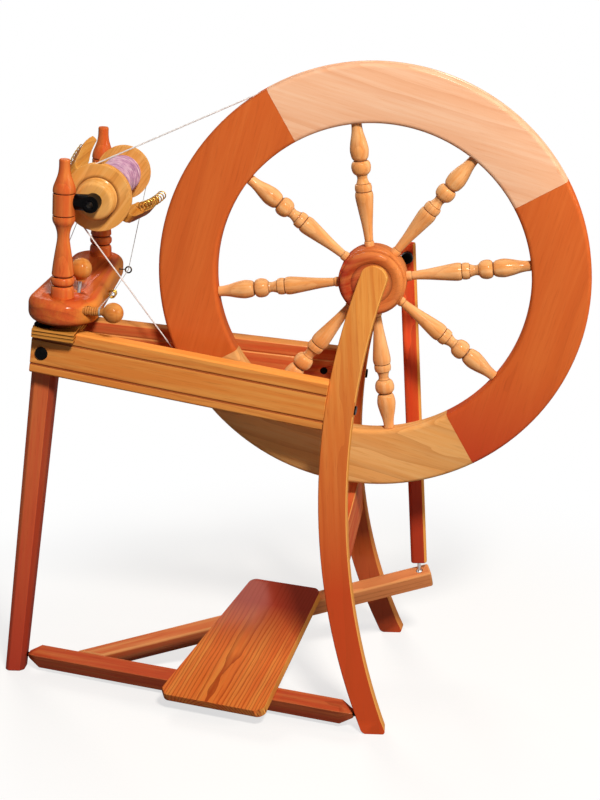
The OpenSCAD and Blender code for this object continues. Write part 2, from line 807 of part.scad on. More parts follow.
module maiden_bar() {
    half = bar_w / 2;
    mid_l = bar_l - bar_w;
    color(amber) place() difference() {
        at_bar() translate([bar_off, bar_y, 0]) {
            translate([0, mid_l / 2, 0]) rotate([90, 0, 0]) linear_extrude(mid_l) {
                bar_outline(half);
                mirror([1, 0]) bar_outline(half);
            }
            for (side = [0, 180]) rotate([0, 0, side]) translate([0, mid_l / 2, 0])
                rotate_extrude(angle = 180) intersection() {
                    bar_outline(half);
                    translate([0, -bar_t]) square([half, bar_t]);
                }
        }
        at_bar() for (y = [maiden_front_y, maiden_back_y])
            translate([0, y, -maiden_tenon]) cylinder(h = maiden_tenon + 5, r = maiden_tenon_r + eps);
        at_bar() translate([peg_tip - 1, peg_y, peg_n]) rotate([0, 90, 0])
            cylinder(h = bar_w, r = peg_r + run);
        at_table() translate([tension_s, tension_y, block_rise]) cylinder(h = tension_up, r = bar_hole_r);
        at_bar() eye_shank(ring_at, -1, eps);
        at_bar() eye_shank(brass_eye_at, -1, eps);
        at_bar() eye_shank(hook_at, 1, eps);
    }
}

// turned maiden: radius against height
module maiden_outline() {
    m = maiden_r;
    h = maiden_h;
    polygon([[0, -maiden_tenon + 1], [maiden_tenon_r, -maiden_tenon + 1], [maiden_tenon_r, 0], [1.03 * m, 0],
             [1.03 * m, 0.070 * h], [m, 0.082 * h], [0.87 * m, 0.088 * h], [1.0 * m, 0.096 * h],
             [1.02 * m, 0.120 * h], [1.0 * m, 0.146 * h], [0.87 * m, 0.153 * h], [0.98 * m, 0.162 * h],
             [0.96 * m, 0.19 * h], [0.85 * m, 0.27 * h], [0.68 * m, 0.355 * h], [0.57 * m, 0.415 * h],
             [0.56 * m, 0.445 * h], [0.60 * m, 0.475 * h], [0.76 * m, 0.52 * h], [0.96 * m, 0.552 * h],
             [m, 0.57 * h], [m, 0.590 * h], [0.89 * m, 0.597 * h], [m, 0.604 * h], [m, 0.752 * h],
             [0.89 * m, 0.759 * h], [m, 0.766 * h], [0.99 * m, 0.79 * h], [0.90 * m, 0.818 * h],
             [0.71 * m, 0.857 * h], [0.56 * m, 0.896 * h], [0.50 * m, 0.935 * h], [0.485 * m, 0.975 * h],
             [0.50 * m, 0.988 * h], [0.46 * m, h], [0, h]]);
}

module bearing_tenon(grow) {
    translate([4, 0, flyer_up]) rotate([0, 90, 0]) cylinder(h = maiden_r, r = 6 + grow);
}

module maiden(y) {
    color(amber) place() at_bar() translate([0, y, 0]) difference() {
        rotate_extrude() maiden_outline();
        bearing_tenon(eps);
    }
}

module front_maiden() {
    maiden(maiden_front_y);
}

module rear_maiden() {
    maiden(maiden_back_y);
}

// black bearing: stem out of the maiden, ring around the flyer axis
module bearing(y, stem_r, ring_r, half, bore_r) {
    color(black) place() at_bar() translate([0, y, 0]) difference() {
        union() {
            bearing_tenon(0);
            difference() {
                union() {
                    translate([0, 0, flyer_up]) rotate([0, 90, 0]) cylinder(h = flyer_p, r = stem_r);
                    translate([flyer_p, half, flyer_up]) rotate([90, 0, 0])
                        cylinder(h = 2 * half, r = ring_r);
                }
                translate([0, 0, flyer_up - 2 * stem_r]) cylinder(h = 4 * stem_r, r = maiden_r + eps);
            }
        }
        translate([flyer_p, half + 1, flyer_up]) rotate([90, 0, 0])
            cylinder(h = 2 * half + 2, r = bore_r);
    }
}

module front_bearing() {
    bearing(maiden_front_y, bearing_r, bearing_ring_r, bearing_r, tube_r + run);
}

module rear_bearing() {
    bearing(maiden_back_y, rear_bearing_r, rear_bearing_r, rear_bearing_r, spindle_end_r + run);
}

module tension_rod() {
    color(steel) place() at_table() translate([tension_s, tension_y, block_rise - tension_deep + 0.5])
        cylinder(h = tension_up + tension_deep - block_rise - 4, r = tension_r);
}

module tension_knob() {
    r = tension_knob_d / 2;
    color(honey) place() at_table() translate([tension_s, tension_y, tension_up]) difference() {
        union() {
            sphere(r = r);
            translate([0, 0, -r - 1.5]) cylinder(h = r, r = 0.42 * r);
        }
        translate([0, 0, -2 * r]) cylinder(h = 2 * r - 3, r = tension_r + eps);
    }
}

// turned brake peg: tapered stem with beads and a pear knob
module brake_peg() {
    k = brake_knob_d / 2;
    s0 = peg_knob_s;
    color(honey) place() at_bar() translate([0, peg_y, peg_n]) rotate([0, 90, 0]) rotate_extrude()
        polygon(concat(
            [[0, peg_tip], [peg_r, peg_tip], [peg_r, peg_bead_s - 1]],
            [for (i = [0:3], c = [[peg_r - 0.6, 0], [peg_r + 0.5, 1.2], [peg_r + 0.5, 1.8]])
                [c[0], peg_bead_s + 3 * i + c[1]]],
            [[peg_r - 0.6, peg_bead_s + 12], [peg_r - 0.6, s0 - k - 2], [peg_r + 0.6, s0 - k]],
            [for (a = [-58:12:86]) [k * cos(a), s0 + k * sin(a)]],
            [[0, s0 + k]]));
}

// Brake line with its eyes and spring, in the bar frame.
module eye_shank(at, side, grow) {
    inner = 10;
    reach = abs(at[0] - (side < 0 ? bar_right : bar_left)) - eye_r;
    translate([at[0] + side * eye_r, at[1], at[2]]) rotate([0, 90 * side, 0])
        translate([0, 0, -0.4]) cylinder(h = reach + inner, r = eye_wire + grow);
}

module eye_ring(at, tip) {
    translate(at) rotate([tip, 0, 0]) rotate([90, 0, 0])
        rotate_extrude() translate([eye_r, 0]) circle(r = eye_wire, $fn = 32);
}

module screw_eye() {
    color(steel) place() at_bar() {
        eye_ring(ring_at, 45);
        eye_shank(ring_at, -1, 0);
    }
}

module line_eye() {
    color(brass) place() at_bar() {
        eye_ring(brass_eye_at, 0);
        eye_shank(brass_eye_at, -1, 0);
    }
}

module spring_hook() {
    color(steel) place() at_bar() {
        eye_ring(hook_at, 0);
        eye_shank(hook_at, 1, 0);
    }
}

module brake_spring() {
    lean = atan2(line_dir[0], line_dir[1]);
    color(steel) place() at_bar() translate(hook_at) rotate([0, lean, 0]) {
        translate([0, 0, spring_from]) coil(spring_r, spring_wire, spring_turns, 8, spring_pitch);
        translate([0, 0, spring_hold]) cylinder(h = spring_from - spring_hold, r = spring_wire);
        translate([0, 0, spring_from + spring_turns * spring_pitch])
            cylinder(h = spring_tail, r = spring_wire);
        for (z = [spring_from, spring_from + spring_turns * spring_pitch])
            translate([0, 0, z]) rotate([0, 90, 0]) cylinder(h = spring_r, r = spring_wire);
    }
}

module brake_line() {
    a = turn_of(line_right, flyer_c);
    b = turn_of(line_left, flyer_c);
    sweep = b - a > 0 ? b - a : b - a + 360;
    start = [hook_at[0] + spring_to * line_dir[0], brake_y, hook_at[2] + spring_to * line_dir[1]];
    left = [line_left[0], brake_y, line_left[1]];
    right = [line_right[0], brake_y, line_right[1]];
    wrap_r = peg_r - 0.6 + face_gap + line_r;
    peg_top = [peg_wrap_s - line_d - face_gap, peg_y, peg_n + wrap_r];
    path = [right, ring_at, brass_eye_at, peg_top];
    color(cord) place() at_bar() {
        strut(start, left, line_r);
        bend(left, line_r);
        translate([flyer_p, brake_y, flyer_up]) rotate([90, 0, 0]) rotate([0, 0, a])
            rotate_extrude(angle = sweep) translate([brake_arc_r, 0]) circle(r = line_r, $fn = 24);
        for (i = [0:2]) strut(path[i], path[i + 1], line_r);
        for (i = [0:2]) bend(path[i], line_r);
        translate([peg_wrap_s, peg_y, peg_n]) rotate([0, 90, 0])
            rotate_extrude() translate([wrap_r, 0]) circle(r = line_r, $fn = 24);
    }
}

// Flyer.
module flyer_whorl() {
    w = whorl_r;
    s = small_whorl_r;
    f = whorl_front;
    step = -20.5;
    boss = tube_r + 10;
    color(honey) place() at_flyer() rotate_extrude() polygon([
        [tube_r + eps, f], [tube_r + 5.5, f], [tube_r + 8.5, f + 1.2], [boss, f + 4], [boss, step],
        [s - 1, step], [s, step + 1], [s, -17], [s - 4, -14.2], [s - 4, -12.4], [s, -9.6], [s, -6.5],
        [w - 1, -6.5], [w, -5.5], [w, -3.8], [groove_floor, -1.8], [groove_floor, 1.8], [w, 3.8],
        [w, 5.5], [w - 1, whorl_back], [tube_r + eps, whorl_back]]);
}

module flyer_spindle() {
    exit_r = 3.2;
    color(steel) place() at_flyer() difference() {
        union() {
            translate([0, 0, tube_front]) cylinder(h = tube_back - tube_front, r = tube_r);
            translate([0, 0, tube_back - 1]) cylinder(h = spindle_step - tube_back + 1, r = spindle_r);
            translate([0, 0, spindle_step - 1])
                cylinder(h = spindle_back - spindle_step + 1, r = spindle_end_r);
        }
        translate([0, 0, tube_front - 1]) cylinder(h = yoke_back - tube_front, r = orifice_d / 2);
        translate([0, 0, yoke_back - 4]) rotate([0, 40, 90 - flyer_turn]) cylinder(h = 30, r = exit_r);
    }
}

// yoke's outline: distance from the axis against length, one arm and its mirror image
module yoke_outline() {
    q = arm_spread;
    far = arm_tip - yoke_back;
    inner = [for (t = [0:0.1:1]) [q - 6 - 15 * (1 - t) * (1 - t), yoke_back + 8 + t * (far - 10)]];
    outer = [for (t = [1:-0.1:0]) [q + 6 - 17 * (1 - t) * (1 - t) - 5 * pow(t, 4), yoke_back + t * far]];
    half = concat([[q - 30, yoke_back], [q - 24, yoke_back + 3]], inner, outer,
                  [[q - 15, yoke_front + 8], [q - 22, yoke_front + 2], [q - 28, yoke_front]]);
    last = len(half) - 1;
    polygon(concat(half, [for (i = [0:last]) [-half[last - i][0], half[last - i][1]]]));
}

module flyer_yoke() {
    color(honey) place() at_flyer() difference() {
        union() {
            rotate([0, 0, -flyer_turn]) translate([0, arm_w / 2, 0])
                rotate([90, 0, 0]) linear_extrude(arm_w) yoke_outline();
            translate([0, 0, yoke_front - 0.8]) cylinder(h = yoke_back - yoke_front + 2, r = tube_r + 8);
        }
        translate([0, 0, -big / 2]) cylinder(h = big, r = tube_r + eps);
        for (side = [0, 180]) hook_row(side, eps, false);
    }
}

// cup hooks along one arm, on the face that leads
module hook_row(side, grow, whole) {
    first = 60;
    last = arm_tip - 8;
    for (i = [0:hook_n - 1]) {
        y = first + (last - first) * i / (hook_n - 1);
        t = (y - yoke_back) / (arm_tip - yoke_back);
        q = arm_spread - 16 * (1 - t) * (1 - t);
        rotate([0, 0, side - flyer_turn]) translate([q, -arm_w / 2, y]) {
            rotate([90, 0, 0]) translate([0, 0, -6]) cylinder(h = 7.5, r = hook_wire + grow, $fn = 24);
            if (whole)
                translate([0, -1.2 - hook_r, 0]) rotate([0, 0, 90]) rotate_extrude(angle = 285)
                    translate([hook_r, 0]) circle(r = hook_wire, $fn = 24);
        }
    }
}

module upper_hooks() {
    color(brass) place() at_flyer() hook_row(0, 0, true);
}

module lower_hooks() {
    color(brass) place() at_flyer() hook_row(180, 0, true);
}

// Bobbin.
module bobbin_barrel() {
    color(honey) place() at_flyer() rotate_extrude()
        translate([spindle_r + run, bobbin_front])
            square([barrel_out_r - spindle_r - run, bobbin_back - bobbin_front]);
}

module bobbin_front_end() {
    r = bobbin_d / 2 - 2.5;
    y = bobbin_front + 1;
    color(honey) place() at_flyer() rotate_extrude() polygon([
        [barrel_out_r + eps, y], [r - 2, y], [r, y + 1.5], [r, y + end_front_t - 1.5],
        [r - 1.5, y + end_front_t], [barrel_out_r + eps, y + end_front_t]]);
}

module bobbin_rear_end() {
    r = bobbin_d / 2;
    y = end_back_y;
    color(honey) place() at_flyer() rotate_extrude() polygon([
        [barrel_out_r + eps, y], [r - 1.5, y], [r, y + 1.5], [r, brake_y - 2.6],
        [brake_floor, brake_y - 1.2], [brake_floor, brake_y + 1.2], [r, brake_y + 2.6],
        [r, bobbin_back - 2.5], [r - 1.5, bobbin_back - 1], [barrel_out_r + eps, bobbin_back - 1]]);
}

module yarn_core() {
    color(mauve) place() at_flyer() rotate_extrude()
        translate([barrel_out_r + eps, wound_front + eps])
            square([core_r - barrel_out_r - eps, end_back_y - wound_front - 2 * eps]);
}

// outer layer: the straight steps of each loop stay clear of the core
module yarn_winding() {
    ends = 0.6;
    steps = 24;
    loop_r = (core_r + strand_r + eps) / cos(180 / steps);
    pitch = (end_back_y - wound_front - 2 * strand_r - 2 * ends) / strand_loops;
    color(mauve) place() at_flyer() translate([0, 0, wound_front + strand_r + ends])
        coil(loop_r, strand_r, strand_loops, steps, pitch);
}

// Drive band: two arcs and two straight runs in the wheel's plane.
module drive_band() {
    up = band_line - band_open;
    low = band_line + band_open;
    color(cord) place() at_axle() {
        rotate([0, 0, low]) rotate_extrude(angle = 360 - 2 * band_open, $fn = 180)
            translate([band_wheel_r, 0]) circle(r = band_r, $fn = 24);
        for (side = [-1, 1]) rotate([0, 0, band_line + side * band_open]) {
            top = [band_wheel_r, -side * band_run, 0];
            foot = [band_wheel_r, 0, 0];
            strut(foot, top, band_r);
            bend(foot, band_r);
            bend(top, band_r);
        }
        translate([flyer_at[0], flyer_at[1] - axle_h, 0]) rotate([0, 0, up])
            rotate_extrude(angle = 2 * band_open) translate([band_whorl_r, 0]) circle(r = band_r, $fn = 24);
    }
}

// Treadle.
module treadle_pin_space() {
    at_treadle() rotate([0, 90, 0]) {
        translate([0, 0, -pin_in - 1]) cylinder(h = 2 * pin_in, r = pin_r + run);
        translate([0, 0, treadle_l - pin_in]) cylinder(h = 2 * pin_in + 1, r = pin_r + run);
    }
}

module treadle_rail() {
    tip = rail_tip * sqrt(2);
    full = treadle_half * sqrt(2);
    body = treadle_l - 2 * rail_end_gap - 2 * rail_taper;
    color(amber) place() at_treadle() difference() {
        translate([rail_end_gap, 0, 0]) rotate([0, 90, 0]) rotate([0, 0, 45]) {
            cylinder(h = rail_taper, r1 = tip, r2 = full, $fn = 4);
            translate([0, 0, rail_taper]) cylinder(h = body, r = full, $fn = 4);
            translate([0, 0, rail_taper + body]) cylinder(h = rail_taper, r1 = full, r2 = tip, $fn = 4);
        }
        for (u = [-1, treadle_l - 2 * pin_in]) translate([u, 0, 0]) rotate([0, 90, 0])
            cylinder(h = 2 * pin_in + 1, r = pin_r + eps);
    }
}

module treadle_pins() {
    color(steel) place() at_treadle() rotate([0, 90, 0]) {
        translate([0, 0, -pin_in]) cylinder(h = 3 * pin_in - 1, r = pin_r);
        translate([0, 0, treadle_l - 2 * pin_in + 1]) cylinder(h = 3 * pin_in - 1, r = pin_r);
    }
}

module treadle_arm() {
    color(amber) place() difference() {
        at_treadle() {
            difference() {
                translate([arm_root, 0, treadle_half - arm_bar_t]) rotate([0, 0, arm_turn])
                    translate([-20, -arm_bar_w / 2, 0]) cube([arm_len + 20, arm_bar_w, arm_bar_t]);
                translate([-big, -big, -big / 2]) cube([3 * big, big + treadle_half + eps, big]);
            }
        }
        translate(link_xyz) translate([0, 0, -40]) cylinder(h = 80, r = link_hole_r);
    }
}

module treadle_board() {
    c = board_corner;
    back = board_front + board_l;
    x0 = board_mid;
    x1 = board_mid + board_skew;
    color(amber) place() at_treadle() translate([0, 0, treadle_half + eps]) linear_extrude(board_t) hull() {
        for (s = [-1, 1]) {
            translate([x0 + s * (board_front_w / 2 - c), board_front + c]) circle(r = c, $fn = 32);
            translate([x1 + s * (board_back_w / 2 - c), back - c]) circle(r = c, $fn = 32);
        }
    }
}

module con_rod() {
    c = 3;
    color(honey) place() difference() {
        at_rod() translate([0, 0, rod_foot]) linear_extrude(rod_len + rod_head - rod_foot) polygon([
            [c - rod_w / 2, -rod_t / 2], [rod_w / 2 - c, -rod_t / 2], [rod_w / 2, c - rod_t / 2],
            [rod_w / 2, rod_t / 2 - c], [rod_w / 2 - c, rod_t / 2], [c - rod_w / 2, rod_t / 2],
            [-rod_w / 2, rod_t / 2 - c], [-rod_w / 2, c - rod_t / 2]]);
        at_rod() translate([0, 40, rod_len]) rotate([90, 0, 0]) cylinder(h = 80, r = rod_bush_r + eps);
        at_rod() cylinder(h = 60, r = link_r + eps);
    }
}

// black bush in the rod's eye, where the crank pin runs
module rod_bush() {
    color(black) place() at_rod() translate([0, 0, rod_len]) rotate([-90, 0, 0])
        translate([0, 0, bush_front]) difference() {
            cylinder(h = rod_t / 2 + 1.5 - bush_front, r = rod_bush_r);
            translate([0, 0, -1]) cylinder(h = rod_t / 2 + 1 - bush_front, r = crank_pin_r + run);
        }
}

// steel link: a ball in the treadle arm's hole, its shank in the rod's end
module rod_link() {
    color(steel) place() at_rod() {
        sphere(r = link_ball_r);
        cylinder(h = 58, r = link_r);
    }
}

module rim_1() { rim_segment(0); }
module rim_2() { rim_segment(1); }
module rim_3() { rim_segment(2); }
module rim_4() { rim_segment(3); }
module spoke_1() { spoke(0); }
module spoke_2() { spoke(1); }
module spoke_3() { spoke(2); }
module spoke_4() { spoke(3); }
module spoke_5() { spoke(4); }
module spoke_6() { spoke(5); }
module spoke_7() { spoke(6); }
module spoke_8() { spoke(7); }

front_rail();
rear_rail();
table_block();
end_leg();
front_wheel_leg();
rear_wheel_leg();
leg_stretcher();
leg_bolt();
rail_bolts();
barrel_nuts();
front_axle_bush();
rear_axle_bush();
hinge_lower();
drive_band();
rim_1();
rim_2();
rim_3();
rim_4();
spoke_1();
spoke_2();
spoke_3();
spoke_4();
spoke_5();
spoke_6();
spoke_7();
spoke_8();
hub();
axle_crank();
maiden_bar();
front_maiden();
rear_maiden();
front_bearing();
rear_bearing();
hinge_upper();
screw_eye();
line_eye();
spring_hook();
brake_spring();
brake_line();
tension_rod();
tension_knob();
brake_peg();
flyer_yoke();
flyer_spindle();
flyer_whorl();
upper_hooks();
lower_hooks();
bobbin_barrel();
bobbin_front_end();
bobbin_rear_end();
yarn_core();
yarn_winding();
treadle_rail();
treadle_arm();
treadle_board();
treadle_pins();
con_rod();
rod_bush();
rod_link();
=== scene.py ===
"""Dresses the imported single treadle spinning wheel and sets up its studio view.

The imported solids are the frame. Every piece below is made in their place, rides on one
of their bodies and, where it stands for a solid, replaces it. Lengths are metres, and
sizes that come from the maker's drawing are written in millimetres times MM.
"""

import bisect
import json
import logging
import math
import random
from dataclasses import dataclass, field
from enum import Enum
from typing import Any, Iterable, Optional, Sequence

import bmesh
import bpy
from mathutils import Matrix, Vector


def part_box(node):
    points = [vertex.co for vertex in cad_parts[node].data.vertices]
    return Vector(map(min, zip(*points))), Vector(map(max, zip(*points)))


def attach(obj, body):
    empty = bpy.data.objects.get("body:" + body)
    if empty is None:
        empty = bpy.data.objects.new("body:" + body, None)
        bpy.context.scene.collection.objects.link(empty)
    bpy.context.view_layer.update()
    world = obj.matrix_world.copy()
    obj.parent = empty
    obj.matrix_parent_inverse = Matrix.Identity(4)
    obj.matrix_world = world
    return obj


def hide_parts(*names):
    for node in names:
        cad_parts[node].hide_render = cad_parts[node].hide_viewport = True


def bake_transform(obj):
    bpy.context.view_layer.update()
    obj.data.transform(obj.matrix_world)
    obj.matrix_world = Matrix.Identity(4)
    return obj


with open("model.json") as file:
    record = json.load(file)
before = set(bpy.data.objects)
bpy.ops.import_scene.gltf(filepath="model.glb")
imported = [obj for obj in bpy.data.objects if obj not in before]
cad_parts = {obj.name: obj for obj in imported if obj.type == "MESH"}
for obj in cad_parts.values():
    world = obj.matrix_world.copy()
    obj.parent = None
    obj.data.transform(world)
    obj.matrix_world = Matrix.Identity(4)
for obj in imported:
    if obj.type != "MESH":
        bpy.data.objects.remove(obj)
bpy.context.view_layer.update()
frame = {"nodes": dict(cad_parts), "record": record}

MM = 0.001
MERGE = 0.01 * MM
LOG = logging.getLogger("spinning_wheel")

Profile = list[tuple[float, float]]


def linear(hex_colour: str) -> tuple[float, float, float, float]:
    """Turns an sRGB hex colour into Blender's linear RGBA.

    Args:
        hex_colour: Six hex digits, with or without a leading #.

    Returns:
        Linear red, green and blue with an alpha of 1.
    """
    digits = hex_colour.lstrip("#")
    parts = [int(digits[i : i + 2], 16) / 255 for i in (0, 2, 4)]
    red, green, blue = (c / 12.92 if c <= 0.04045 else ((c + 0.055) / 1.055) ** 2.4 for c in parts)
    return red, green, blue, 1.0


def clamp(value: float, low: float = 0.0, high: float = 1.0) -> float:
    """Keeps a value between two limits."""
    return min(max(value, low), high)


def connect(tree: bpy.types.NodeTree, node: bpy.types.Node, inputs: dict[Any, Any]) -> None:
    """Links sockets to a node's inputs, or sets values on them.

    Args:
        tree: The node tree.
        node: The node.
        inputs: Socket name or number to a value, or to a socket to link from.
    """
    for socket, value in inputs.items():
        if isinstance(value, bpy.types.NodeSocket):
            tree.links.new(value, node.inputs[socket])
        else:
            node.inputs[socket].default_value = value


def add_node(
    tree: bpy.types.NodeTree,
    kind: str,
    inputs: Optional[dict[Any, Any]] = None,
    stops: Sequence[tuple[float, str]] = (),
    **settings: Any,
) -> bpy.types.Node:
    """Adds a shader node with its settings, values and links.

    Args:
        tree: The node tree.
        kind: Blender's node type.
        inputs: Socket name or number to a value, or to a socket to link from.
        stops: Positions and hex colours, for a colour ramp.
        settings: Attributes of the node itself.

    Returns:
        The new node.
    """
    node = tree.nodes.new(kind)
    for name, value in settings.items():
        setattr(node, name, value)
    connect(tree, node, inputs or {})
    for i, (position, colour) in enumerate(stops):
        marks = node.color_ramp.elements
        mark = marks[i] if i < 2 else marks.new(position)
        mark.position = position
        mark.color = linear(colour)
    return node


def start_material(
    name: str,
) -> tuple[bpy.types.Material, bpy.types.NodeTree, bpy.types.Node, bpy.types.NodeSocket]:
    """Starts a material.

    Args:
        name: The material's name.

    Returns:
        The material, its node tree, its shader and the object's own points.
    """
    material = bpy.data.materials.new(name)
    material.use_nodes = True
    tree = material.node_tree
    points = add_node(tree, "ShaderNodeTexCoord").outputs["Object"]
    return material, tree, tree.nodes["Principled BSDF"], points


@dataclass(frozen=True)
class Grain:
    """How the wood of one piece was cut: where its fibres run and where the heart lay.

    Attributes:
        along: Direction of the fibres in the frame.
        centre: A point of the piece.
        up: Direction of the board's face.
        heart: Distance from the piece's middle to the tree's heart, under the face.
        fade: Where along the fibres the wood starts to take its far tone and where it has it.
    """

    along: Vector
    centre: Vector
    up: Vector = Vector((0.0, -1.0, 0.0))
    heart: float = 60 * MM
    fade: tuple[float, float] = (0.0, 0.3)

    def matrix(self) -> Matrix:
        """Works out the board's own axes.

        Returns:
            The turn and shift that take frame points to them.
        """
        x = self.along.normalized()
        y = self.up.cross(x).normalized()
        z = x.cross(y)
        turn = Matrix((x, y, z)).to_4x4()
        return turn @ Matrix.Translation(-self.centre)


@dataclass(frozen=True)
class WoodFinish:
    """Lacquered hardwood, planed or turned: fine flecks, thin growth lines, a clear gloss coat.

    Attributes:
        light: Colour of the pale streaks, of rubbed arrises and of a side's painted light.
        middle: Colour of most of the board.
        dark: Colour of the late wood and of the flecks.
        far: Colour at the board's far end, or nothing where it has one tone.
        ring_mm: Distance between growth lines.
        ring_share: How far the growth lines change the colour.
        ring_from: Where in each ring its dark late wood begins.
        wander: How far the growth lines wander, which is next to nothing in glued layers.
        streak_share: How far the pale streaks change the colour.
        streak_mm: Width of the pale streaks across the fibres.
        streak_span: Noise values between which a pale streak comes in.
        fleck_mm: Width of the dark flecks, coarser than in real wood so that they show.
        fleck_share: How far the flecks change the colour.
        fleck_span: Noise values between which a fleck comes in.
        roughness: Roughness under the coat.
        coat: Weight of the lacquer coat.
        rub_and_painted_light: How far rubbed arrises and a side with painted light or painted shade
            change the colour.
        side: Colour of rubbed arrises and of a side with painted light or painted shade, or nothing
            where it is the pale colour.
        groove_and_shade_colour: Colour of the darkening in turned hollows and planed lines, and of
            painted shade where a piece marks it.
        groove_and_shade_dark: How far that darkening changes the colour.
    """

    light: str
    middle: str
    dark: str
    far: str = ""
    ring_mm: float = 9.0
    ring_share: float = 0.4
    ring_from: float = 0.6
    wander: float = 3.5
    streak_share: float = 0.7
    streak_mm: float = 9.0
    streak_span: tuple[float, float] = (0.4, 0.66)
    fleck_mm: float = 0.8
    fleck_share: float = 0.35
    fleck_span: tuple[float, float] = (0.56, 0.74)
    roughness: float = 0.34
    coat: float = 0.035
    rub_and_painted_light: float = 0.4
    side: str = ""
    groove_and_shade_colour: str = "#4E1C0C"
    groove_and_shade_dark: float = 0.8

    def material(self, name: str, grain: Grain) -> bpy.types.Material:
        """Makes the finish for one piece.

        Args:
            name: The material's name.
            grain: How the piece's wood was cut.

        Returns:
            The material, its grain running along the piece.
        """
        material, tree, shader, points = start_material(name)
        place = grain.matrix()
        board = add_node(
            tree,
            "ShaderNodeMapping",
            {"Vector": points, "Location": place.translation, "Rotation": place.to_euler()},
        ).outputs[0]
        flecks = self.noise(tree, board, 20, 2 * self.fleck_mm)
        streaks = self.noise(tree, board, 26, self.streak_mm)
        base = linear(self.middle)
        colour = self.tint(tree, base, self.light, streaks, self.streak_span, self.streak_share)
        if self.far:
            along = add_node(tree, "ShaderNodeSeparateXYZ", {0: board}).outputs[0]
            colour = self.tint(tree, colour, self.far, along, grain.fade)
        rings = self.rings(tree, board, grain.heart)
        colour = self.tint(tree, colour, self.dark, rings, (self.ring_from, 1.0), self.ring_share)
        colour = self.tint(tree, colour, self.dark, flecks, self.fleck_span, self.fleck_share)
        # Arrises rub pale, and a marked side takes painted light or painted shade. Turned hollows and
        # planed lines come out darker, and the same mark carries painted shade under the flyer bar's
        # nose and on the yoke's outer faces.
        wear_and_painted_light = add_node(tree, "ShaderNodeAttribute", attribute_name="wear_and_painted_light").outputs["Fac"]
        colour = self.tint(tree, colour, self.side or self.light, wear_and_painted_light, most=self.rub_and_painted_light)
        groove = add_node(tree, "ShaderNodeAttribute", attribute_name="groove").outputs["Fac"]
        colour = self.tint(tree, colour, self.groove_and_shade_colour, groove, most=self.groove_and_shade_dark)
        gloss = add_node(
            tree,
            "ShaderNodeMapRange",
            {"Value": flecks, "To Min": self.roughness - 0.06, "To Max": self.roughness + 0.08},
        ).outputs[0]
        relief = add_node(
            tree,
            "ShaderNodeBump",
            {"Height": flecks, "Strength": 0.1, "Distance": 0.12 * MM},
        ).outputs[0]
        connect(tree, shader, {"Base Color": colour, "Roughness": gloss, "Normal": relief})
        connect(tree, shader, {"IOR": 1.5, "Specular IOR Level": 0.0})
        # A thin dense lacquer gives a tight highlight and little haze where the eye grazes a face.
        lacquer = {"Coat Weight": self.coat, "Coat IOR": 2.2, "Coat Roughness": 0.14}
        connect(tree, shader, lacquer)
        return material

    def noise(
        self,
        tree: bpy.types.NodeTree,
        board: bpy.types.NodeSocket,
        long: float,
        width_mm: float,
    ) -> bpy.types.NodeSocket:
        """Adds noise drawn out along the fibres.

        Args:
            tree: The material's node tree.
            board: Points in the board's own axes.
            long: How many times longer than wide its marks are.
            width_mm: Width of its marks.

        Returns:
            The noise.
        """
        drawn = add_node(
            tree,
            "ShaderNodeMapping",
            {"Vector": board, "Scale": (1 / long, 1, 1)},
        ).outputs[0]
        return add_node(
            tree,
            "ShaderNodeTexNoise",
            {"Vector": drawn, "Scale": 1 / (width_mm * MM), "Detail": 2.5, "Roughness": 0.6},
        ).outputs[0]

    def rings(
        self,
        tree: bpy.types.NodeTree,
        board: bpy.types.NodeSocket,
        heart: float,
    ) -> bpy.types.NodeSocket:
        """Adds growth rings about a heart that leans a little, so that they make arches.

        Args:
            tree: The material's node tree.
            board: Points in the board's own axes.
            heart: Distance from the board's middle to the heart.

        Returns:
            The rings, brightest at their late edge.
        """
        lean, longer = math.radians(2.2), 4
        cut = add_node(
            tree,
            "ShaderNodeMapping",
            {
                "Vector": board,
                "Location": (0, 0, heart),
                "Rotation": (0, lean, lean / 2),
                "Scale": (1 / longer, 1, 1),
            },
        ).outputs[0]
        # Blender's rings repeat every 0.314 / scale.
        repeat = 0.314
        return add_node(
            tree,
            "ShaderNodeTexWave",
            {
                "Vector": cut,
                "Scale": repeat / (self.ring_mm * MM),
                "Distortion": self.wander,
                "Detail": 2.5,
                "Detail Scale": 0.8,
            },
            wave_type="RINGS",
            rings_direction="X",
            wave_profile="SAW",
        ).outputs[1]

    def tint(
        self,
        tree: bpy.types.NodeTree,
        base: Any,
        colour: str,
        value: bpy.types.NodeSocket,
        span: tuple[float, float] = (0.0, 1.0),
        most: float = 1.0,
    ) -> bpy.types.NodeSocket:
        """Mixes a colour into another one as a value rises.

        Args:
            tree: The material's node tree.
            base: The colour underneath, as a socket or a linear value.
            colour: The hex colour mixed in.
            value: The value that brings it in.
            span: Where its share is nothing and where it is full.
            most: The full share.

        Returns:
            The mixed colour.
        """
        low, high = span
        share = add_node(
            tree,
            "ShaderNodeMapRange",
            {"Value": value, "From Min": low, "From Max": high, "To Max": most},
        ).outputs[0]
        return add_node(
            tree,
            "ShaderNodeMix",
            {0: share, 6: base, 7: linear(colour)},
            data_type="RGBA",
        ).outputs[2]


